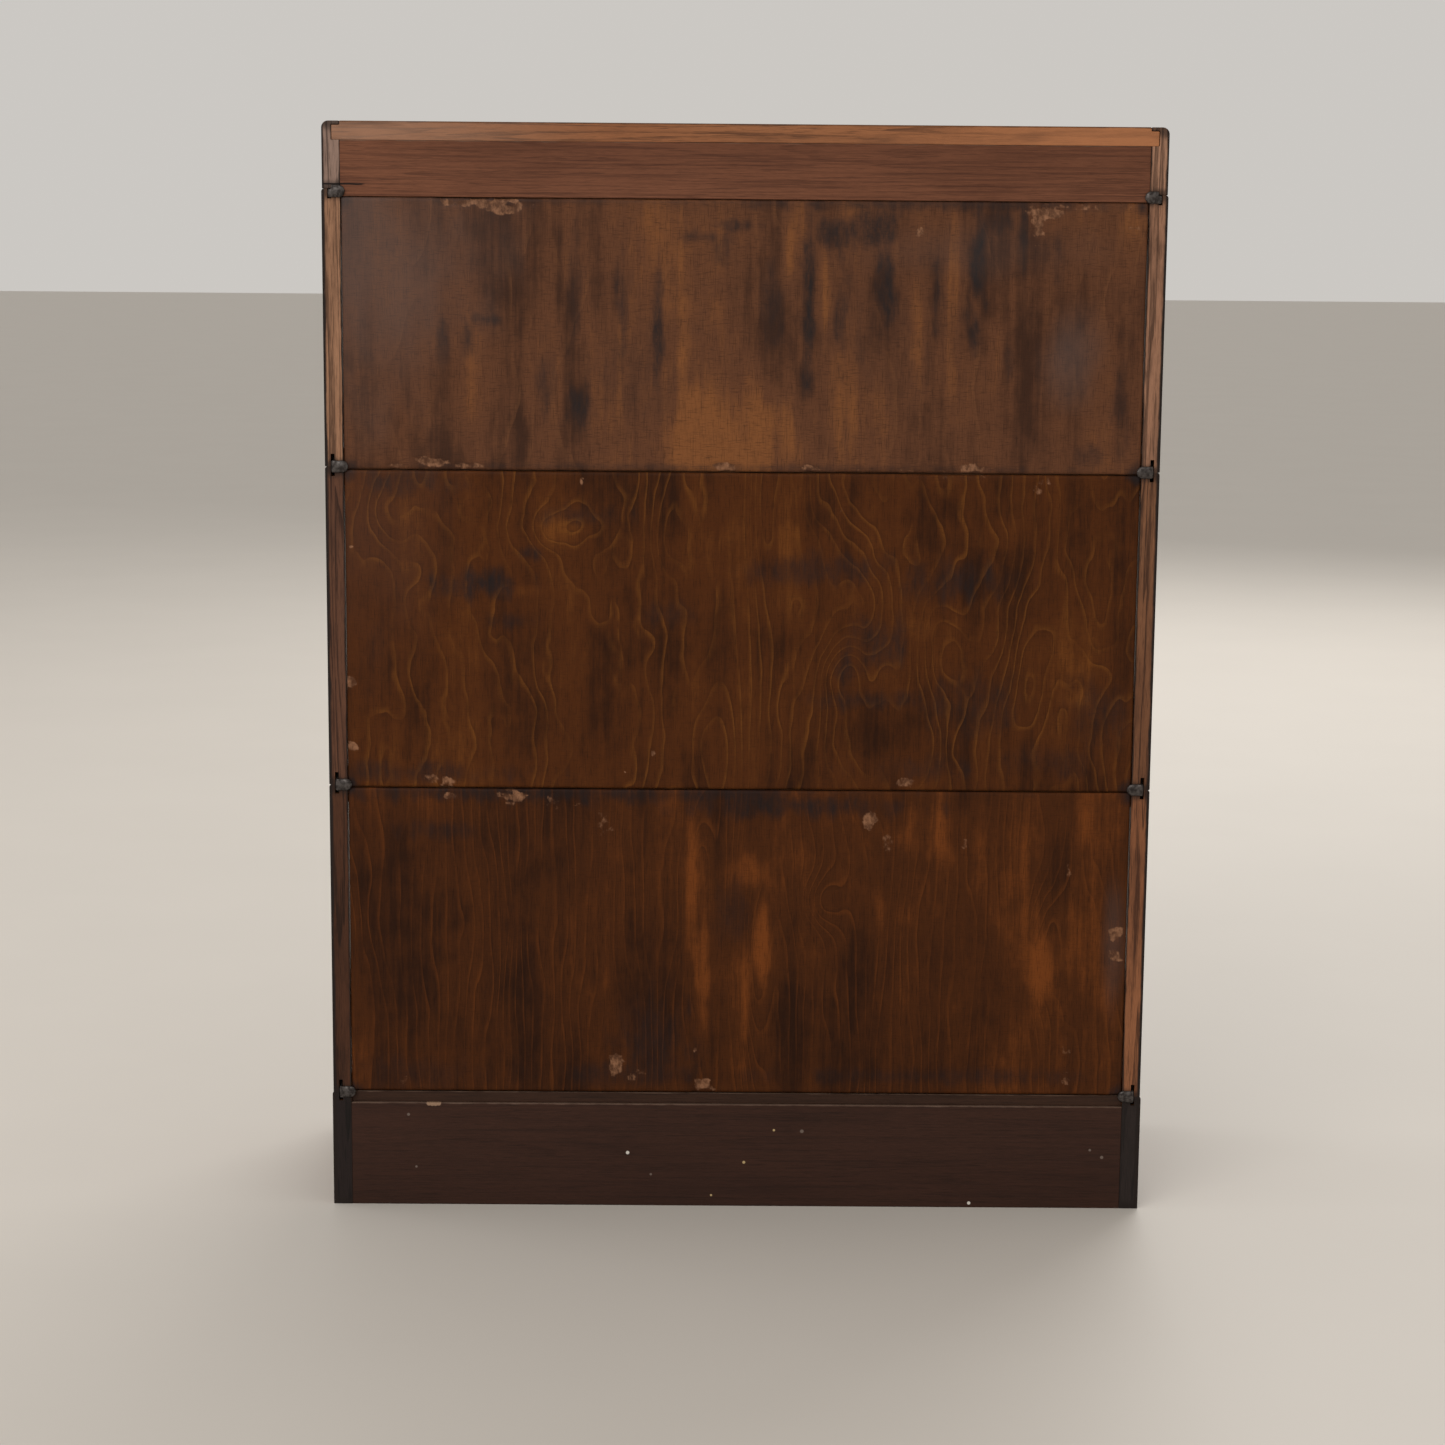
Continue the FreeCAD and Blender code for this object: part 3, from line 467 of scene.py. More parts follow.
# Marks on each panel, in millimetres: across from the +X edge, down from its top edge, half width,
# half height, and then the strength.
PANELS = {
    ("upper", "stain"): (
        (145, 123, 22, 8, 0.9), (129, 144, 7, 24, 0.8), (103, 145, 7, 26, 0.6), (238, 95, 9, 70, 0.35),
        (243, 207, 18, 24, 0.95), (208, 185, 12, 40, 0.55), (287, 108, 8, 52, 0.75),
        (324, 139, 6, 66, 0.95), (370, 38, 22, 7, 0.7), (405, 26, 22, 7, 0.75), (391, 52, 14, 20, 0.55),
        (441, 120, 12, 48, 0.5), (478, 105, 8, 90, 0.95), (511, 124, 7, 62, 0.7), (505, 32, 24, 14, 0.85),
        (545, 28, 30, 22, 0.95), (557, 80, 15, 45, 0.9), (530, 140, 6, 50, 0.4), (609, 95, 7, 66, 0.8),
        (653, 50, 10, 55, 1.0), (645, 130, 12, 26, 0.9), (675, 20, 18, 12, 0.6), (695, 40, 7, 36, 0.85),
        (686, 155, 7, 30, 0.45), (735, 60, 8, 50, 0.45), (600, 2, 230, 9, 0.7), (200, 2, 150, 5, 0.35),
        (300, 180, 60, 70, 0.22), (800, 200, 12, 60, 0.4), (560, 120, 90, 100, 0.18),
        (770, 258, 16, 14, 0.45), (410, 274, 400, 5, 0.45),
    ),
    ("upper", "glow"): (
        (370, 242, 36, 64, 0.9), (440, 236, 46, 76, 0.95), (405, 256, 75, 46, 0.8), (232, 60, 8, 40, 0.6),
        (349, 110, 8, 110, 0.45), (456, 50, 8, 50, 0.5), (495, 90, 9, 50, 0.7), (590, 150, 12, 80, 0.5),
        (625, 110, 8, 110, 0.5), (540, 220, 60, 60, 0.25), (672, 150, 10, 60, 0.4),
        (190, 190, 12, 60, 0.35),
    ),
    # These marks are painted sheen: grey patches where a panel seems to catch the light.
    ("upper", "painted_sheen"): ((20, 30, 130, 180, 0.45), (745, 150, 36, 50, 0.35), (640, 50, 150, 30, 0.12),),
    ("upper", "scuff"): (
        (140, 4, 45, 6, 0.9), (165, 10, 16, 7, 0.8), (712, 18, 8, 22, 0.8), (722, 11, 22, 6, 0.9),
        (750, 4, 60, 4, 0.5), (590, 30, 6, 6, 0.7), (812, 26, 10, 5, 0.6), (93, 270, 20, 7, 0.8),
        (55, 274, 18, 4, 0.5), (125, 274, 24, 4, 0.5), (390, 273, 13, 6, 0.9), (650, 274, 18, 6, 0.7),
        (482, 274, 10, 4, 0.6), (570, 276, 80, 3, 0.4), (297, 13, 6, 4, 0.3),
    ),
    ("upper", "eyes"): (),
    ("middle", "stain"): (
        (140, 118, 45, 16, 0.85), (190, 86, 16, 8, 0.7), (240, 46, 50, 12, 0.5), (170, 157, 28, 10, 0.5),
        (60, 10, 70, 14, 0.5), (500, 100, 70, 18, 0.55), (640, 112, 60, 24, 0.6), (560, 175, 40, 30, 0.6),
        (545, 238, 60, 12, 0.5), (650, 240, 50, 34, 0.45), (785, 250, 36, 36, 0.45),
        (335, 148, 26, 14, 0.35), (600, 310, 60, 14, 0.4), (735, 300, 50, 20, 0.35),
        (60, 318, 120, 12, 0.5), (520, 205, 10, 20, 0.6),
    ),
    ("middle", "glow"): (
        (225, 60, 30, 22, 0.35), (180, 125, 22, 8, 0.4), (680, 60, 34, 20, 0.3), (455, 60, 12, 80, 0.25),
        (600, 160, 26, 14, 0.3), (770, 235, 14, 12, 0.5),
    ),
    ("middle", "painted_sheen"): ((20, 60, 90, 120, 0.1),),
    ("middle", "scuff"): (
        (6, 222, 8, 7, 0.8), (4, 290, 8, 6, 0.7), (6, 80, 4, 3, 0.8), (85, 326, 12, 8, 0.55),
        (105, 328, 10, 9, 0.6), (585, 326, 10, 6, 0.7), (722, 8, 10, 14, 0.55), (245, 10, 3, 7, 0.8),
        (320, 296, 3, 3, 0.9), (290, 316, 3, 3, 0.9), (515, 37, 3, 5, 0.5), (635, 2, 50, 4, 0.4),
    ),
    ("middle", "eyes"): (
        (522, 208, 20, 36, 1.6), (622, 175, 26, 45, 1.9), (45, 48, 26, 40, 1.4), (332, 75, 22, 50, 1.3),
        (712, 260, 30, 110, 1.9), (435, 20, 14, 110, 1.5), (385, 300, 26, 80, -1.6),
        (225, 60, 50, 20, 1.2), (530, 130, 34, 50, -1.4), (790, 110, 34, 90, 1.2),
    ),
    ("lower", "stain"): (
        (230, 4, 330, 12, 0.75), (480, 16, 120, 14, 0.8), (95, 44, 40, 12, 0.5), (320, 270, 40, 46, 0.5),
        (60, 310, 90, 20, 0.3), (300, 310, 90, 14, 0.5), (640, 310, 200, 10, 0.45),
        (405, 130, 20, 40, 0.35),
    ),
    ("lower", "glow"): (
        (362, 120, 12, 95, 0.58), (372, 215, 10, 85, 0.62), (425, 88, 32, 24, 0.58),
        (436, 160, 10, 60, 0.55), (415, 230, 16, 60, 0.62), (412, 290, 10, 40, 0.47),
        (734, 190, 14, 46, 0.51), (700, 110, 40, 100, 0.27), (630, 45, 70, 40, 0.31),
        (780, 110, 20, 120, 0.31), (500, 130, 18, 20, 0.23), (560, 140, 10, 40, 0.23),
    ),
    ("lower", "painted_sheen"): ((810, 170, 14, 80, 0.25),),
    ("lower", "scuff"): (
        (172, 8, 16, 10, 0.8), (106, 8, 8, 5, 0.7), (215, 14, 10, 14, 0.45), (266, 36, 12, 16, 0.5),
        (550, 30, 7, 12, 0.8), (568, 56, 8, 16, 0.6), (241, 16, 6, 4, 0.6), (283, 300, 10, 17, 0.8),
        (302, 310, 12, 9, 0.5), (378, 322, 14, 9, 1.0), (812, 152, 9, 8, 0.8), (814, 176, 10, 7, 0.7),
        (760, 84, 4, 12, 0.5), (764, 270, 10, 24, 0.35), (764, 312, 6, 12, 0.6), (55, 318, 10, 8, 0.4),
        (650, 58, 4, 8, 0.5), (367, 283, 3, 3, 0.9),
    ),
    ("lower", "eyes"): (
        (370, 120, 14, 110, 2.6), (430, 180, 18, 120, 2.4), (730, 170, 20, 60, 2.2),
        (500, 120, 24, 30, 2.0),
    ),
}
# Figure of each panel: its lines' spacing and swirl, how far it's drawn out, the strength of upright
# bars, where across it is calm, and how much paler it grows across.
FIGURES = {
    "upper": (0.05, 4.0, 2.6, 0.9, -1.0, 0.12),
    "middle": (0.026, 6.5, 1.9, 0.8, 0.405, -0.12),
    "lower": (0.011, 7.0, 4.0, 0.75, -1.0, 0.2),
}
MILLIMETRES_TO_METRE = 1000
ROUND_OVER = 0.8 * MM
FRONT_POINTS = 3
FIRST_SEED = 11
SEEDS_APART = 40


def in_metres(rows):
    """Rows of marks with every number but the last changed to metres."""
    return [(*(value / MILLIMETRES_TO_METRE for value in place), last) for *place, last in rows]


def back_panel(name, mat, step, seed):
    """A thin slab whose back face is a fine grid, carried along X.

    Each ring is: the foot's round, the back face upwards, the head's round, then the flat
    front face. The face bows by a few tenths, and the scuffs near its edges are worn away.
    """
    node = f"{name}_back_panel"
    (x0, y0, z0), (x1, y1, z1) = low(node), high(node)
    width, tall = x1 - x0, z1 - z0
    looks = {label: in_metres(rows) for (panel, label), rows in PANELS.items() if panel == name}
    x = np.linspace(x1, x0, int(width / step) + 1)
    height = np.linspace(0, 1, int(tall / step) + 1)
    across = (x1 - x)[:, None] + 0 * height
    down = (1 - height) * tall + 0 * across
    stain = marks(across, down, looks["stain"], seed + 1, 0.01, 0.92, 2.6, 1.7)
    glow = marks(across, down, looks["glow"], seed + 2, 0.022, 0.8, 4.0, 0.9)
    glow = glow * (0.35 + layered_noise(across / 0.007, down / 0.12, seed + 9, 3) * 1.1)
    # Painted sheen: soft grey patches that stand in for light glancing off the panel.
    painted_sheen = marks(across, down, looks["painted_sheen"], seed + 3, 0.06, 0.95, 2.0, 1.2)
    scuff = marks(across, down, looks["scuff"], seed + 4, 0.009, 0.5, 0.7, 1.7)
    spacing, swirl, stretch, bars, calm_at, lean = FIGURES[name]
    field = layered_noise(across / 0.075, down / (0.075 * stretch), seed + 5, 3) * swirl
    field = field + layered_noise(across / 0.012, down / (0.012 * stretch), seed + 6, 2) * swirl * 0.07
    field = field * (1 - 0.85 * np.exp(-((across - calm_at) / 0.045) ** 2))
    figure = field + rings(across, down, looks["eyes"]) * 1.7 + across / spacing
    steep = np.hypot(np.gradient(figure, step, axis=0), np.gradient(figure, step, axis=1))
    slope = ease(steep, 8.0, 45.0)
    # Darker spots at the panel's four corners, round the lugs.
    dark_at_lugs = [(side, level, 0.014, 0.013, 0.9) for side in (0, width) for level in (0, tall)]
    stain = np.maximum(stain, marks(across, down, dark_at_lugs, seed + 12, 0.02, 0.7, 1.0, 0.8))
    tone = 0.42 + (layered_noise(across / 0.026, down / 0.2, seed + 10, 4) - 0.5) * bars
    tone = tone + (layered_noise(across / 0.11, down / 0.09, seed + 11, 3) - 0.5) * 0.55
    tone = tone + glow * 0.75 - stain * 0.2 + lean * (across / width - 0.5)

    from_edge = np.minimum(down, tall - down)
    worn = scuff * (1 - ease(from_edge, 4 * MM, 16 * MM))
    bow = (layered_noise(across / 0.22, down / 0.16, seed + 7, 2) - 0.5) * 0.5 * MM
    face = y1 - 0.45 * MM + bow * 0.6 - worn * 0.9 * MM - scuff * 0.15 * MM
    nibble = (layered_noise(across / 0.03, down / 0.5, seed + 8, 4)) * 0.6 * MM
    pull = nibble + worn * 1.1 * MM
    z = z1 - down
    z = z + np.where(down < tall / 2, -pull, pull) * (1 - ease(from_edge, 0, 12 * MM))
    face = np.where(from_edge < 0.5 * step, face - ROUND_OVER, face)

    back = np.stack([np.repeat(x[:, None], height.size, 1), face, z], axis=-1)
    front_z = np.linspace(1, 0, FRONT_POINTS)
    front = np.stack([np.repeat(x[:, None], FRONT_POINTS, 1),
                      np.full((x.size, FRONT_POINTS), y0),
                      z[:, -1:] * front_z + z[:, :1] * (1 - front_z)], axis=-1)
    verts = np.concatenate([back, front], axis=1)
    pad = np.zeros((x.size, FRONT_POINTS))
    layers = {"figure": figure, "slope": slope, "stain": stain, "tone": tone, "painted_sheen": painted_sheen,
              "scuff": scuff}
    layers = {label: np.concatenate([field, pad], axis=1) for label, field in layers.items()}
    faces = ring_faces(x.size, verts.shape[1], reverse=True)
    piece = add_piece(f"{name}_panel", verts, faces, "case", "panel_ply", mat, layers)
    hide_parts(node)


# ---- other new pieces ----
def knob_profile(radius, length, steps):
    """(radius, height) pairs from seat to crown of a turned knob.

    A rolled rose of 0.65 of the radius, a neck that narrows as a cosine, a flaring cone, a
    half-round bead at the rim, and a crown that falls off as an ellipse.
    """
    t = np.linspace(0, 1, steps)
    seat, rim = 0.1 * length, 0.68 * length
    rose = np.stack([radius * (0.65 - 0.05 * (1 - np.sin(t * math.pi))), seat * t], -1)
    flare = radius * (0.34 + 0.52 * t ** 2.2 + 0.1 * (np.cos(t * math.pi) * 0.5 + 0.5) ** 3)
    neck = np.stack([flare, seat + (rim - seat) * t], -1)
    bead_angle = (t - 0.5) * math.pi
    bead = np.stack([radius * (0.93 + 0.07 * np.cos(bead_angle)),
                     rim + 0.05 * length * (1 + np.sin(bead_angle))], -1)
    crown_angle = t * math.pi / 2
    crown_foot = rim + 0.1 * length
    crown = np.stack([radius * 0.9 * np.cos(crown_angle) + 0.0001 * radius,
                      crown_foot + (length - crown_foot) * np.sin(crown_angle)], -1)
    return np.concatenate([rose, neck, bead, crown])


KNOB_SIDES = 48
KNOB_STEPS = 12


def door_knobs(name, mat, sides, steps):
    """A pair of knobs turned about a line that points forward from the door's face."""
    node = f"{name}_door_knobs"
    (x0, y0, z0), (x1, y1, z1) = low(node), high(node)
    radius = (z1 - z0) / 2
    shape, faces = turned(knob_profile(radius, y1 - y0, steps), sides)
    forward = np.stack([shape[..., 0], y1 - shape[..., 2], (z0 + z1) / 2 + shape[..., 1]], -1)
    pair = [(forward + np.array([centre, 0, 0]), faces) for centre in (x0 + radius, x1 - radius)]
    piece = add_piece(f"{name}_knobs", *joined(pair), f"{name}_door", "brass", mat)
    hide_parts(node)


STRAP_STEPS = 8
STRAP_SIDES = 24


def joining_strap(side, web, lug, thick, slot_x, front_y, lap, steps=STRAP_STEPS):
    """One strap: a slab's section carried along a path that runs back in its slot, then inward.

    web and lug are (lowest, highest) heights; side is 1 or -1. Along the path the section's
    height goes from the web's to the lug's and ends in a half circle, sqrt(1 - u^2), and its
    thickness swells in the lug like a pillow, (1 - v^2)^0.4 of the distance v from its middle.
    """
    bend = 0.55 * thick
    run_x, run_y = slot_x, BACK_Y + thick / 2
    half = (lug[1] - lug[0]) / 2
    inner_x = INNER_X - lap
    straight = np.array([front_y, BACK_Y - 7 * MM, BACK_Y - 5.9 * MM, run_y - bend])
    turn = np.linspace(0, math.pi / 2, steps)
    round_t = np.sin(np.linspace(0, math.pi / 2, steps + 4)[1:-1])
    flat_x = np.linspace(run_x - bend, inner_x + half, steps)[1:]
    path_x = np.concatenate([np.full(4, run_x), run_x - bend * (1 - np.cos(turn[1:])), flat_x,
                             inner_x + half - half * round_t])
    path_y = np.concatenate([straight, run_y - bend + bend * np.sin(turn[1:]),
                             np.full(flat_x.size + round_t.size, run_y)])
    heading = np.concatenate([np.zeros(4), turn[1:], np.full(flat_x.size + round_t.size, math.pi / 2)])
    neck = (max(web[0], lug[0]), min(web[1], lug[1]))
    bounds = np.array([web, web] + [neck] * (1 + steps) + [lug] * (flat_x.size + round_t.size))
    middle, reach = bounds.mean(1), (bounds[:, 1] - bounds[:, 0]) / 2
    reach[-round_t.size:] *= np.sqrt(1 - round_t ** 2)
    in_lug = ease(run_x - path_x, bend, 3 * bend)
    around = np.linspace(0, 2 * math.pi, STRAP_SIDES, endpoint=False)
    high_share = np.sign(np.sin(around)) * np.abs(np.sin(around)) ** 0.45
    thick_share = np.sign(np.cos(around)) * np.abs(np.cos(around)) ** 0.45
    swell = 1 - in_lug[:, None] * 0.75 * (1 - (1 - 0.98 * high_share ** 2) ** 0.4)
    fade = np.ones(path_x.size)
    fade[-round_t.size:] = (1 - 0.9 * round_t ** 2) ** 0.35
    out = thick / 2 * thick_share * swell * fade[:, None] - thick / 2 * (1 - swell * fade[:, None])
    x = side * (path_x[:, None] + out * np.cos(heading)[:, None])
    y = path_y[:, None] + out * np.sin(heading)[:, None]
    z = middle[:, None] + reach[:, None] * high_share
    return np.stack([x, y, z], -1), ring_faces(path_x.size, around.size, side > 0)


FLOOR_LINES = 5


def solid_floor(mat, reach):
    """A large level floor under the object, as a square grid of flat squares."""
    line = np.linspace(-reach, reach, FLOOR_LINES)
    x, y = np.meshgrid(line, line, indexing="ij")
    verts = np.stack([x, y, 0 * x], -1)
    index = np.arange(FLOOR_LINES ** 2).reshape(FLOOR_LINES, FLOOR_LINES)
    faces = np.stack([index[:-1, :-1], index[1:, :-1], index[1:, 1:], index[:-1, 1:]], -1)
    mesh = bpy.data.meshes.new("floor")
    mesh.from_pydata(verts.reshape(-1, 3).tolist(), [], faces.reshape(-1, 4).tolist())
    mesh.materials.append(mat)
    floor = bpy.data.objects.new("floor", mesh)
    bpy.context.scene.collection.objects.link(floor)


# ---- sizes and colours that a user would change ----
def size(label, about, default):
    return FloatProperty(name=label, description=about, default=default, unit="LENGTH")


def hue(label, about, default):
    return FloatVectorProperty(name=label, description=about, default=default, subtype="COLOR",
                               size=3, min=0.0, max=1.0)


class BookcaseSizes(bpy.types.PropertyGroup):
    """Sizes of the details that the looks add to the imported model."""
    panel_step: size("Panel grid", "Spacing of a back panel's points", 2.2 * MM)
    board_edge: size("Board edges", "Width of the eased edges on boards", 0.9 * MM)
    metal_edge: size("Metal edges", "Width of the eased edges on metal", 0.6 * MM)
    lug_height: size("Lug height", "Height of a strap's bent end", 12.5 * MM)
    lug_lap: size("Lug lap", "Lug's reach over the back panel", 5.0 * MM)
    lug_drop: size("Top lug drop", "Top lugs' middle below the top joint", 2.5 * MM)
    strap_depth: size("Strap depth", "Strap's middle in from the end's face", 8.0 * MM)
    strap_below: size("Strap below", "Reach of a strap below its joint", 9.5 * MM)
    strap_above: size("Strap above", "Reach of a strap above its joint", 12.5 * MM)
    floor_reach: size("Floor", "From the middle of the floor to its edge", 40.0)
    camera_distance: size("Camera distance", "Camera behind the middle", 3.261)
    camera_height: size("Camera height", "Camera above the floor", 1.046)
    camera_side: size("Camera side", "Camera to the +X side of the middle", 0.0351)
    camera_pitch: FloatProperty(name="Camera pitch", description="How far the camera looks down",
                                default=math.radians(9.465), subtype="ANGLE")
    camera_turn: FloatProperty(name="Camera turn", description="Camera's heading off -Y",
                               default=math.radians(-0.302), subtype="ANGLE")
    camera_roll: FloatProperty(name="Camera roll", description="Camera's tilt about its own line",
                               default=math.radians(0.464), subtype="ANGLE")


class BookcaseColours(bpy.types.PropertyGroup):
    """Base colours of the stains, the bare wood and the metals."""
    show_pale: hue("Polished oak, pale", "Between the growth bands", (0.19, 0.074, 0.023))
    show_mid: hue("Polished oak, middle", "Most of the polished oak", (0.12, 0.043, 0.013))
    show_dark: hue("Polished oak, dark", "Growth bands and dirt", (0.028, 0.01, 0.005))
    brass_bright: hue("Brass, bright", "Rubbed brass", (0.72, 0.5, 0.21))
    brass_dull: hue("Brass, dull", "Tarnished brass", (0.3, 0.19, 0.08))
    iron_bright: hue("Strap steel, bright", "Rubbed steel", (0.1, 0.088, 0.083))
    iron_dull: hue("Strap steel, dull", "Browned steel", (0.026, 0.02, 0.018))
    steel_bright: hue("Equaliser steel, bright", "Rubbed steel", (0.36, 0.35, 0.34))
    steel_dull: hue("Equaliser steel, dull", "Greyed steel", (0.15, 0.14, 0.135))
    floor: hue("Floor", "The plain floor", (0.62, 0.58, 0.53))
    air: hue("Surroundings", "Light from all round", (0.8, 0.77, 0.73))


def sizes():
    return bpy.context.scene.bookcase_sizes


def colours():
    return bpy.context.scene.bookcase_colours


def show_oak():
    """The polished oak's pale, middle and dark colours as plain numbers."""
    tones = colours()
    return tuple(tones.show_pale), tuple(tones.show_mid), tuple(tones.show_dark)


# Bare back edge of each end board: pale, middle and dark colour, how dirty, and the board's lean.
BARE_EDGES = {
    "top_end_right": ((0.4, 0.27, 0.215), (0.27, 0.175, 0.137), (0.05, 0.029, 0.022), 0.5, 0.5),
    "top_end_left": ((0.52, 0.285, 0.18), (0.38, 0.2, 0.125), (0.06, 0.028, 0.017), 0.4, -0.4),
    "upper_end_right": ((0.5, 0.27, 0.155), (0.37, 0.19, 0.108), (0.05, 0.021, 0.012), 0.35, 5.0),
    "upper_end_left": ((0.44, 0.225, 0.135), (0.3, 0.15, 0.09), (0.05, 0.022, 0.013), 0.6, -2.0),
    "middle_end_right": ((0.16, 0.07, 0.04), (0.11, 0.045, 0.024), (0.025, 0.01, 0.007), 0.6, 1.0),
    "middle_end_left": ((0.42, 0.2, 0.1), (0.16, 0.064, 0.03), (0.03, 0.012, 0.008), 0.5, 1.5),
    "lower_end_right": ((0.095, 0.036, 0.017), (0.052, 0.019, 0.009), (0.018, 0.008, 0.005), 0.6, -1.0),
    "lower_end_left": ((0.34, 0.135, 0.06), (0.23, 0.086, 0.038), (0.035, 0.013, 0.008), 0.4, 1.0),
    "base_end_right": ((0.024, 0.015, 0.014), (0.015, 0.01, 0.009), (0.009, 0.007, 0.006), 0.6, 0.5),
    "base_end_left": ((0.04, 0.027, 0.024), (0.027, 0.019, 0.017), (0.012, 0.009, 0.008), 0.6, 0.5),
}


class BOOKCASE_OT_end_boards(bpy.types.Operator):
    """Finish the ten end boards: polished faces and bare back edges, each with its own grain"""
    bl_idname = "bookcase.end_boards"
    bl_label = "End Boards"

    def execute(self, context):
        for index, (node, (pale, mid, dark, dirt, lean)) in enumerate(BARE_EDGES.items()):
            mat = end_oak(node, show_oak(), (pale, mid, dark), (0, math.radians(lean), 0),
                             (index * 3.1, 0.7 * index, 0), dirt)
            dress(node, mat, sizes().board_edge)
        return {"FINISHED"}


# Each back panel: dark, middle, orange and line colour; the weight of lines and wear; the sheen.
PLY_TONES = {
    "upper": ((0.05, 0.019, 0.009), (0.13, 0.049, 0.021), (0.23, 0.084, 0.026),
              (0.21, 0.084, 0.032), 0.25, 0.5, 0.14),
    "middle": ((0.027, 0.008, 0.0022), (0.084, 0.0235, 0.0042), (0.165, 0.052, 0.009),
               (0.205, 0.072, 0.012), 0.5, 0.25, 0.1),
    "lower": ((0.027, 0.0092, 0.0038), (0.07, 0.0208, 0.0052), (0.185, 0.051, 0.01),
              (0.145, 0.041, 0.008), 0.5, 0.25, 0.08),
}


class BOOKCASE_OT_back_panels(bpy.types.Operator):
    """Make the three thin plywood backs, with their figure, stains, patches and worn edges"""
    bl_idname = "bookcase.back_panels"
    bl_label = "Back Panels"

    def execute(self, context):
        for index, (name, tones) in enumerate(PLY_TONES.items()):
            mat = panel_ply(f"{name}_panel_ply", *tones)
            back_panel(name, mat, sizes().panel_step, FIRST_SEED + SEEDS_APART * index)
        return {"FINISHED"}


def bare_rail(node, pale, mid, dark, line_weight, specks=()):
    """A rail seen from behind: fine level grain, dirt in clouds, a pale top edge that is partly wear
    and partly painted highlight, paint specks.

    Each speck is (x, height, radius, colour), a disc on the back face.
    """
    mat = Finish(f"{node}_oak")
    head = high(node)[2]
    colour, height = oak_grain(mat, "x", pale, mid, dark, (0, 0, 0), (0.3, 0.2, 0.1), 0.5, 0.4)
    fine = mat.noise((8, 420, 560), 4, 0.6)
    colour = mat.mix(mat.eased(fine, 0.47, 0.66, 0.0, line_weight), colour, dark)
    cloud = mat.noise((6, 6, 22), 4, 0.6)
    colour = mat.mix(mat.eased(cloud, 0.45, 0.8, 0.0, 0.4), colour, dark)
    x, y, z = mat.axes()
    # Pale top edge: partly wear and partly a painted highlight along the top arris.
    ragged = mat.noise((45, 45, 45), 3, 0.6)
    level = mat.scaled(ragged, 3 * MM, z)
    worn = mat.eased(level, head + 0.2 * MM, head + 1.6 * MM)
    colour = mat.mix(mat.times(worn, 0.6), colour, (0.2, 0.13, 0.095))
    for at_x, at_z, radius, paint in specks:
        away = mat.math("POWER", mat.minus(x, at_x), 2.0)
        rise = mat.math("POWER", mat.minus(z, at_z), 2.0)
        reach = mat.math("SQRT", mat.plus(away, rise))
        colour = mat.mix(mat.eased(reach, radius * 1.15, radius * 0.8), colour, paint)
    if node == "top_back_rail":
        colour = dark_hairline(mat, colour, (x, y, z), HAIRLINE_HEIGHT, INNER_X - 27 * MM)
    mat.bump(mat.minus(height, fine), 0.25, 0.4 * MM)
    return mat.surface(Base_Color=colour, Roughness=mat.eased(cloud, 0.3, 0.7, 0.44, 0.6),
                          Specular_IOR_Level=0.14)


WHITE_PAINT = (0.7, 0.66, 0.6)
CREAM_PAINT = (0.5, 0.36, 0.18)
DUST = (0.16, 0.12, 0.1)
BARE_WOOD = (0.32, 0.2, 0.13)
# A grey that is partly weathered oak and partly painted sheen.
SHEEN_AND_WEATHER_GREY = (0.4, 0.24, 0.165)
RUBBED = (0.53, 0.215, 0.09)
# Specks on the base, in millimetres: (x, height, radius) and colour.
BASE_SPECKS = (
    (117, 59, 1.9, WHITE_PAINT), (-8, 49, 1.6, CREAM_PAINT), (-40, 85, 1.3, CREAM_PAINT),
    (-70, 84, 2.0, DUST), (-251, 5, 1.8, WHITE_PAINT), (344, 42, 1.3, DUST), (352, 100, 1.6, DUST),
    (27, 12, 1.2, CREAM_PAINT), (92, 35, 1.3, DUST), (-393, 57, 1.8, DUST), (-380, 65, 1.4, DUST),
    (330, 112.5, 2.6, BARE_WOOD), (326.5, 112.5, 3.0, BARE_WOOD), (323, 112.5, 3.0, BARE_WOOD),
    (319.5, 112.5, 2.5, BARE_WOOD),
)


class BOOKCASE_OT_top_unit(bpy.types.Operator):
    """Finish the top board, its back rail and the cornice"""
    bl_idname = "bookcase.top_unit"
    bl_label = "Top Unit"

    def execute(self, context):
        edge = sizes().board_edge
        dress("top_cornice", polished_oak("cornice_oak", "x", show_oak()), edge)
        dress("top_board", board_oak("top_board_oak", show_oak()), edge)
        dress("top_back_rail", bare_rail("top_back_rail", (0.215, 0.083, 0.043), (0.165, 0.062, 0.032),
                                         (0.062, 0.022, 0.013), 0.5), edge)
        return {"FINISHED"}


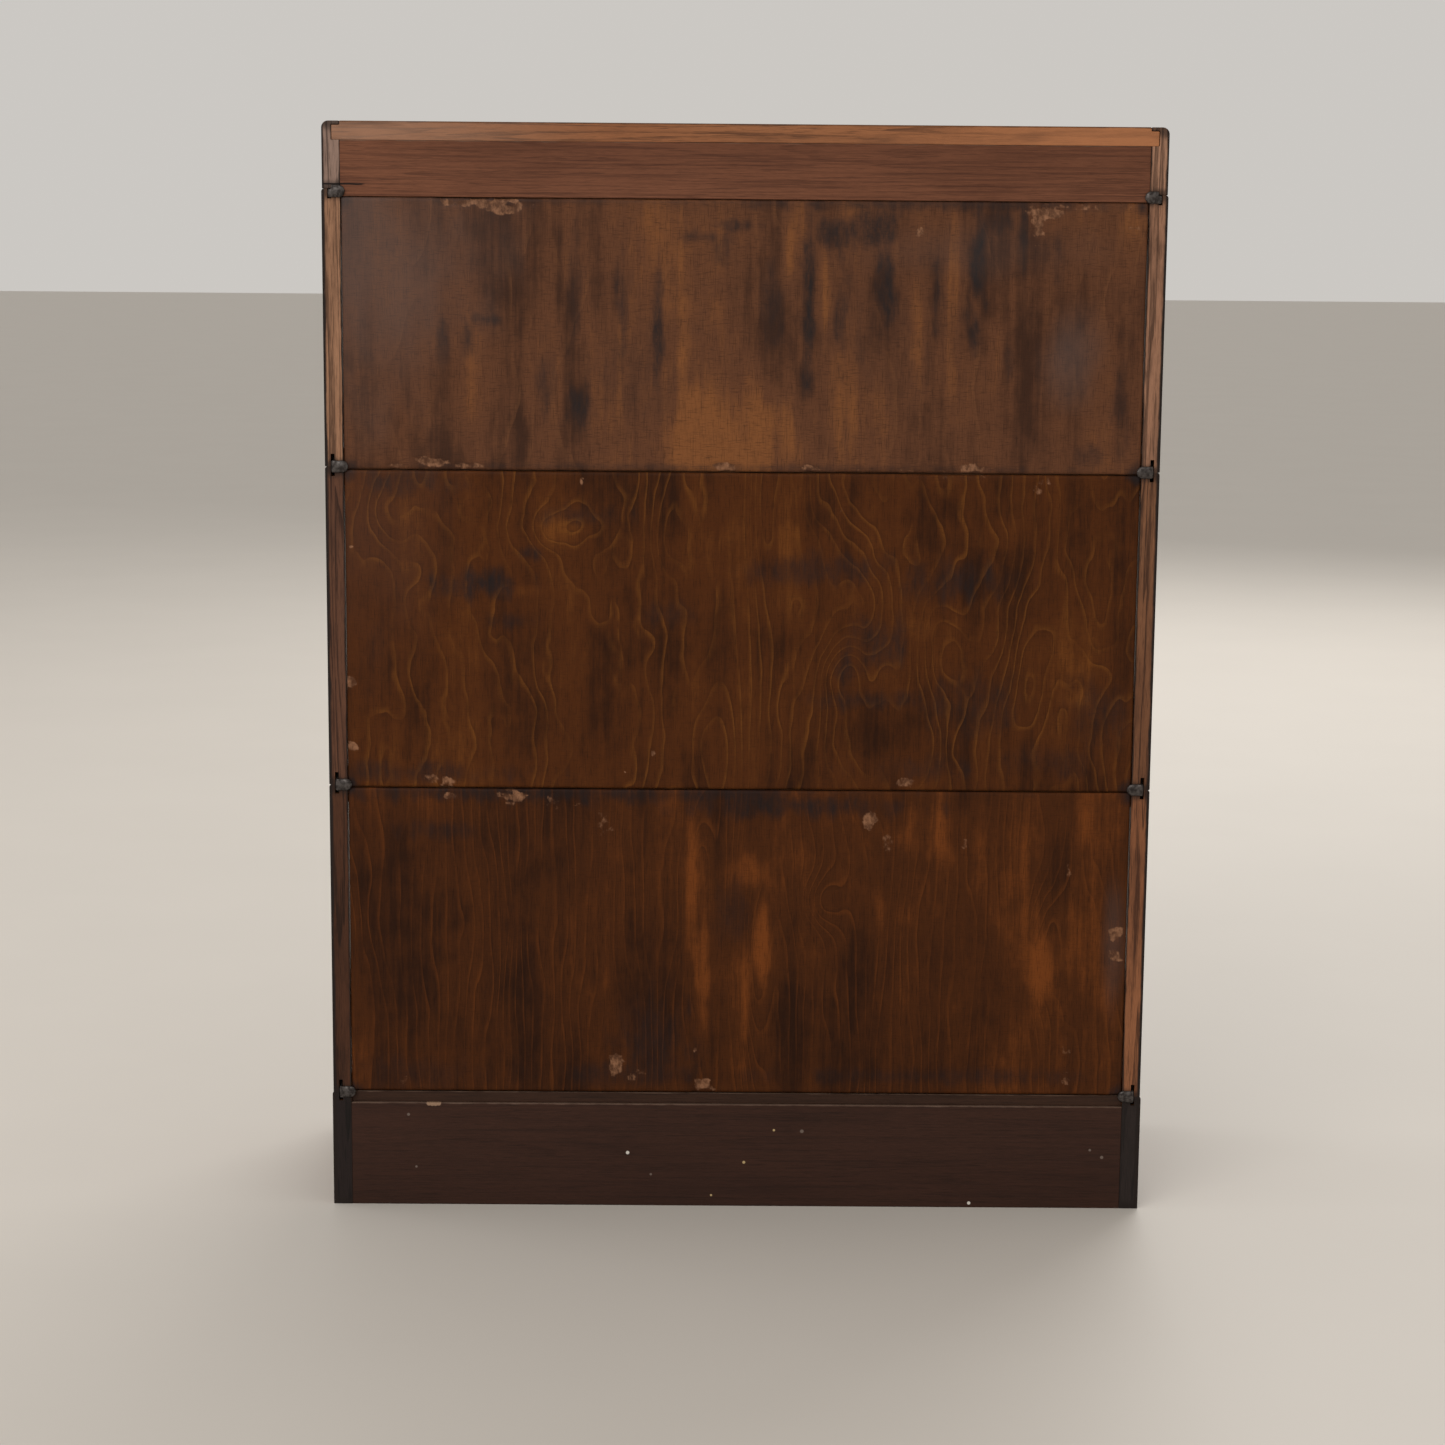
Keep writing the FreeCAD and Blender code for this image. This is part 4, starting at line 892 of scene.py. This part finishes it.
def board_oak(name, show):
    """The top board: polished above, with a rubbed paler back edge."""
    mat = Finish(name)
    top_colour, top_height = oak_grain(mat, "x", *show, pores=0.45)
    edge_colour, edge_height = oak_grain(mat, "x", (0.39, 0.16, 0.066), (0.3, 0.113, 0.044),
                                         (0.09, 0.033, 0.014), shift=(0, 0, 0.4))
    x, y, z = mat.axes()
    # Greyer towards +X: weathering, with painted sheen from that side.
    edge_colour = mat.mix(mat.eased(x, 0.12, 0.4, 0.0, 0.5), edge_colour, SHEEN_AND_WEATHER_GREY)
    edge_colour = mat.mix(mat.eased(x, -0.12, -0.36, 0.0, 0.6), edge_colour, RUBBED)
    top = high("top_board")[2]
    ragged = mat.noise((30, 90, 90), 4, 0.65)
    level = mat.scaled(ragged, 3 * MM, z)
    on_edge = mat.eased(y, BACK_Y - 1.4 * MM, BACK_Y - 0.3 * MM)
    clear_of_top = mat.eased(level, top + 1.2 * MM, top - 0.6 * MM)
    bare = mat.times(on_edge, clear_of_top)
    grime = mat.noise((10, 60, 60), 4, 0.6)
    edge_colour = mat.mix(mat.eased(grime, 0.5, 0.8, 0.0, 0.5), edge_colour, (0.06, 0.025, 0.015))
    colour = mat.mix(bare, top_colour, edge_colour)
    mat.bump(mat.plus(mat.times(top_height, 0.5), edge_height), 0.25, 0.4 * MM)
    return mat.surface(Base_Color=colour, Roughness=mat.eased(bare, 0, 1, 0.34, 0.55),
                          Specular_IOR_Level=0.25)


class BOOKCASE_OT_base_unit(bpy.types.Operator):
    """Finish the base's deck, back board and plinth"""
    bl_idname = "bookcase.base_unit"
    bl_label = "Base Unit"

    def execute(self, context):
        edge = sizes().board_edge
        dress("base_plinth", polished_oak("plinth_oak", "x", show_oak()), edge)
        dress("base_deck", bare_rail("base_deck", (0.056, 0.026, 0.016), (0.038, 0.018, 0.011),
                                     (0.018, 0.01, 0.007), 0.3), edge)
        dress("base_back_board", bare_rail("base_back_board", (0.054, 0.023, 0.015),
                                           (0.04, 0.017, 0.011), (0.022, 0.011, 0.008), 0.25,
                                           in_metres(BASE_SPECKS)), edge)
        return {"FINISHED"}


class BOOKCASE_OT_shelves_and_rails(bpy.types.Operator):
    """Finish each section's shelf and its front and back rails"""
    bl_idname = "bookcase.shelves_and_rails"
    bl_label = "Shelves and Rails"

    def execute(self, context):
        mat = polished_oak("shelf_oak", "x", show_oak(), 0.4)
        for name in SECTIONS:
            for kind in ("shelf", "front_rail", "back_rail"):
                dress(f"{name}_{kind}", mat, sizes().board_edge)
        return {"FINISHED"}


class BOOKCASE_OT_joining_straps(bpy.types.Operator):
    """Make the forged steel straps in the units' slots, bent inward behind into pillowed lugs"""
    bl_idname = "bookcase.joining_straps"
    bl_label = "Joining Straps"

    def execute(self, context):
        look, tones = sizes(), colours()
        mat = metal("strap_iron", tones.iron_bright, tones.iron_dull, 0.34, 0.7, 240, 0.5)
        thick = high("joining_straps")[1] - BACK_Y
        half = look.lug_height / 2
        levels = [(SECTION_FEET[name], look.strap_above, 0.0) for name in SECTIONS]
        levels.append((SECTION_TOPS["upper"], -0.5 * MM, look.lug_drop))
        shells = []
        for joint, above, drop in levels:
            for side in (1, -1):
                web = (joint - look.strap_below, joint + above)
                lug = (joint - drop - half, joint - drop + half)
                shells.append(joining_strap(side, web, lug, thick, OUTER_X - look.strap_depth,
                                            low("joining_straps")[1], look.lug_lap))
        piece = add_piece("straps", *joined(shells), "case", "strap_steel", mat)
        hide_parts("joining_straps")
        return {"FINISHED"}


class BOOKCASE_OT_doors(bpy.types.Operator):
    """Finish the doors' stiles, rails, beads and glass"""
    bl_idname = "bookcase.doors"
    bl_label = "Doors"

    def execute(self, context):
        upright = polished_oak("stile_oak", "z", show_oak(), 0.3)
        level = polished_oak("door_rail_oak", "x", show_oak(), 0.3)
        bead = polished_oak("bead_oak", "z", show_oak(), 0.36)
        glass = clear_glass()
        edge = sizes().board_edge
        for name in SECTIONS:
            for part, oak in (("stiles", upright), ("top_rail", level), ("bottom_rail", level),
                              ("beads", bead)):
                dress(f"{name}_door_{part}", oak, edge)
            dress(f"{name}_door_glass", glass, 0)
        return {"FINISHED"}


class BOOKCASE_OT_knobs(bpy.types.Operator):
    """Make the turned brass knobs, two on each door"""
    bl_idname = "bookcase.knobs"
    bl_label = "Knobs"

    def execute(self, context):
        tones = colours()
        mat = metal("knob_brass", tones.brass_bright, tones.brass_dull, 0.22, 1.0, 130, 0.08)
        for name in SECTIONS:
            door_knobs(name, mat, KNOB_SIDES, KNOB_STEPS)
        return {"FINISHED"}


class BOOKCASE_OT_equalisers(bpy.types.Operator):
    """Finish the pins, bars and crossed arms that keep each door level"""
    bl_idname = "bookcase.equalisers"
    bl_label = "Equalisers"

    def execute(self, context):
        tones = colours()
        mat = metal("equaliser_steel", tones.steel_bright, tones.steel_dull, 0.35, 1.0, 180, 0.15)
        for name in SECTIONS:
            for kind in ("steel_pins", "equaliser_bar", "rail_arm", "bar_arm"):
                dress(f"{name}_{kind}", mat, 0.3 * MM)
        return {"FINISHED"}


WORLD_STRENGTH = 0.75
LENS = 74.72
SENSOR_WIDTH = 36
LIT_MIDDLE = Vector((0, 0, 0.6))
# Each soft light: name, place, width, power in watts and colour.
LIGHTS = (("key light", (1.9, 3.6, 3.2), 3.0, 72, (1.0, 0.97, 0.93)),
          ("side light", (3.8, -0.6, 2.6), 2.6, 30, (0.95, 0.97, 1.0)),
          ("front light", (-1.6, -4.4, 3.6), 3.6, 130, (1.0, 0.98, 0.95)))


def area_light(name, place, width, power, colour):
    """A square soft light that faces the bookcase's middle."""
    data = bpy.data.lights.new(name, "AREA")
    data.shape = "SQUARE"
    data.size = width
    data.energy = power
    data.color = colour
    light = bpy.data.objects.new(name, data)
    light.location = place
    light.rotation_mode = "QUATERNION"
    light.rotation_quaternion = (LIT_MIDDLE - Vector(place)).to_track_quat("-Z", "Y")
    bpy.context.scene.collection.objects.link(light)


class BOOKCASE_OT_stage(bpy.types.Operator):
    """Lay the floor, set the soft lights and place the camera behind the bookcase"""
    bl_idname = "bookcase.stage"
    bl_label = "Stage"

    def execute(self, context):
        scene = context.scene
        scene.view_settings.view_transform = "Standard"
        mat = Finish("plain_floor")
        cloud = mat.noise((3, 3, 3), 3)
        tint = tuple(colours().floor)
        colour = mat.mix(cloud, tuple(c * 0.95 for c in tint), tint)
        solid_floor(mat.surface(Base_Color=colour, Roughness=0.6), sizes().floor_reach)

        world = bpy.data.worlds.new("soft surroundings")
        world.use_nodes = True
        background = world.node_tree.nodes["Background"]
        background.inputs["Color"].default_value = (*colours().air, 1)
        background.inputs["Strength"].default_value = WORLD_STRENGTH
        scene.world = world
        for light in LIGHTS:
            area_light(*light)

        looks = sizes()
        pitch, turn, roll = looks.camera_pitch, looks.camera_turn, looks.camera_roll
        ahead = Vector((math.sin(turn) * math.cos(pitch), -math.cos(turn) * math.cos(pitch),
                        -math.sin(pitch)))
        level = ahead.cross(Vector((0, 0, 1))).normalized()
        upward = level.cross(ahead)
        right = math.cos(roll) * level + math.sin(roll) * upward
        top = -math.sin(roll) * level + math.cos(roll) * upward
        data = bpy.data.cameras.new("camera")
        data.sensor_width = SENSOR_WIDTH
        data.lens = LENS
        camera = bpy.data.objects.new("camera", data)
        camera.matrix_world = Matrix.Translation(
            (looks.camera_side, looks.camera_distance, looks.camera_height)
        ) @ Matrix((right, top, -ahead)).transposed().to_4x4()
        scene.collection.objects.link(camera)
        scene.camera = camera
        return {"FINISHED"}


STEPS = (BOOKCASE_OT_stage, BOOKCASE_OT_end_boards, BOOKCASE_OT_back_panels, BOOKCASE_OT_top_unit,
         BOOKCASE_OT_base_unit, BOOKCASE_OT_shelves_and_rails, BOOKCASE_OT_joining_straps,
         BOOKCASE_OT_doors, BOOKCASE_OT_knobs, BOOKCASE_OT_equalisers)


class BOOKCASE_PT_panel(bpy.types.Panel):
    """Sidebar list of the sizes, the colours and the steps"""
    bl_label = "Sectional Bookcase"
    bl_idname = "BOOKCASE_PT_panel"
    bl_space_type = "VIEW_3D"
    bl_region_type = "UI"
    bl_category = "Bookcase"

    def draw(self, context):
        for group in (context.scene.bookcase_sizes, context.scene.bookcase_colours):
            for label in group.bl_rna.properties.keys():
                if label not in ("name", "rna_type"):
                    self.layout.prop(group, label)
        for step in STEPS:
            self.layout.operator(step.bl_idname)


CLASSES = (BookcaseSizes, BookcaseColours, *STEPS, BOOKCASE_PT_panel)


def register():
    for each in CLASSES:
        bpy.utils.register_class(each)
    bpy.types.Scene.bookcase_sizes = PointerProperty(type=BookcaseSizes)
    bpy.types.Scene.bookcase_colours = PointerProperty(type=BookcaseColours)


def unregister():
    del bpy.types.Scene.bookcase_sizes
    del bpy.types.Scene.bookcase_colours
    for each in reversed(CLASSES):
        bpy.utils.unregister_class(each)


def main():
    register()
    for step in STEPS:
        group, label = step.bl_idname.split(".")
        getattr(getattr(bpy.ops, group), label)()
    bpy.context.view_layer.update()


if __name__ == "__main__":
    main()
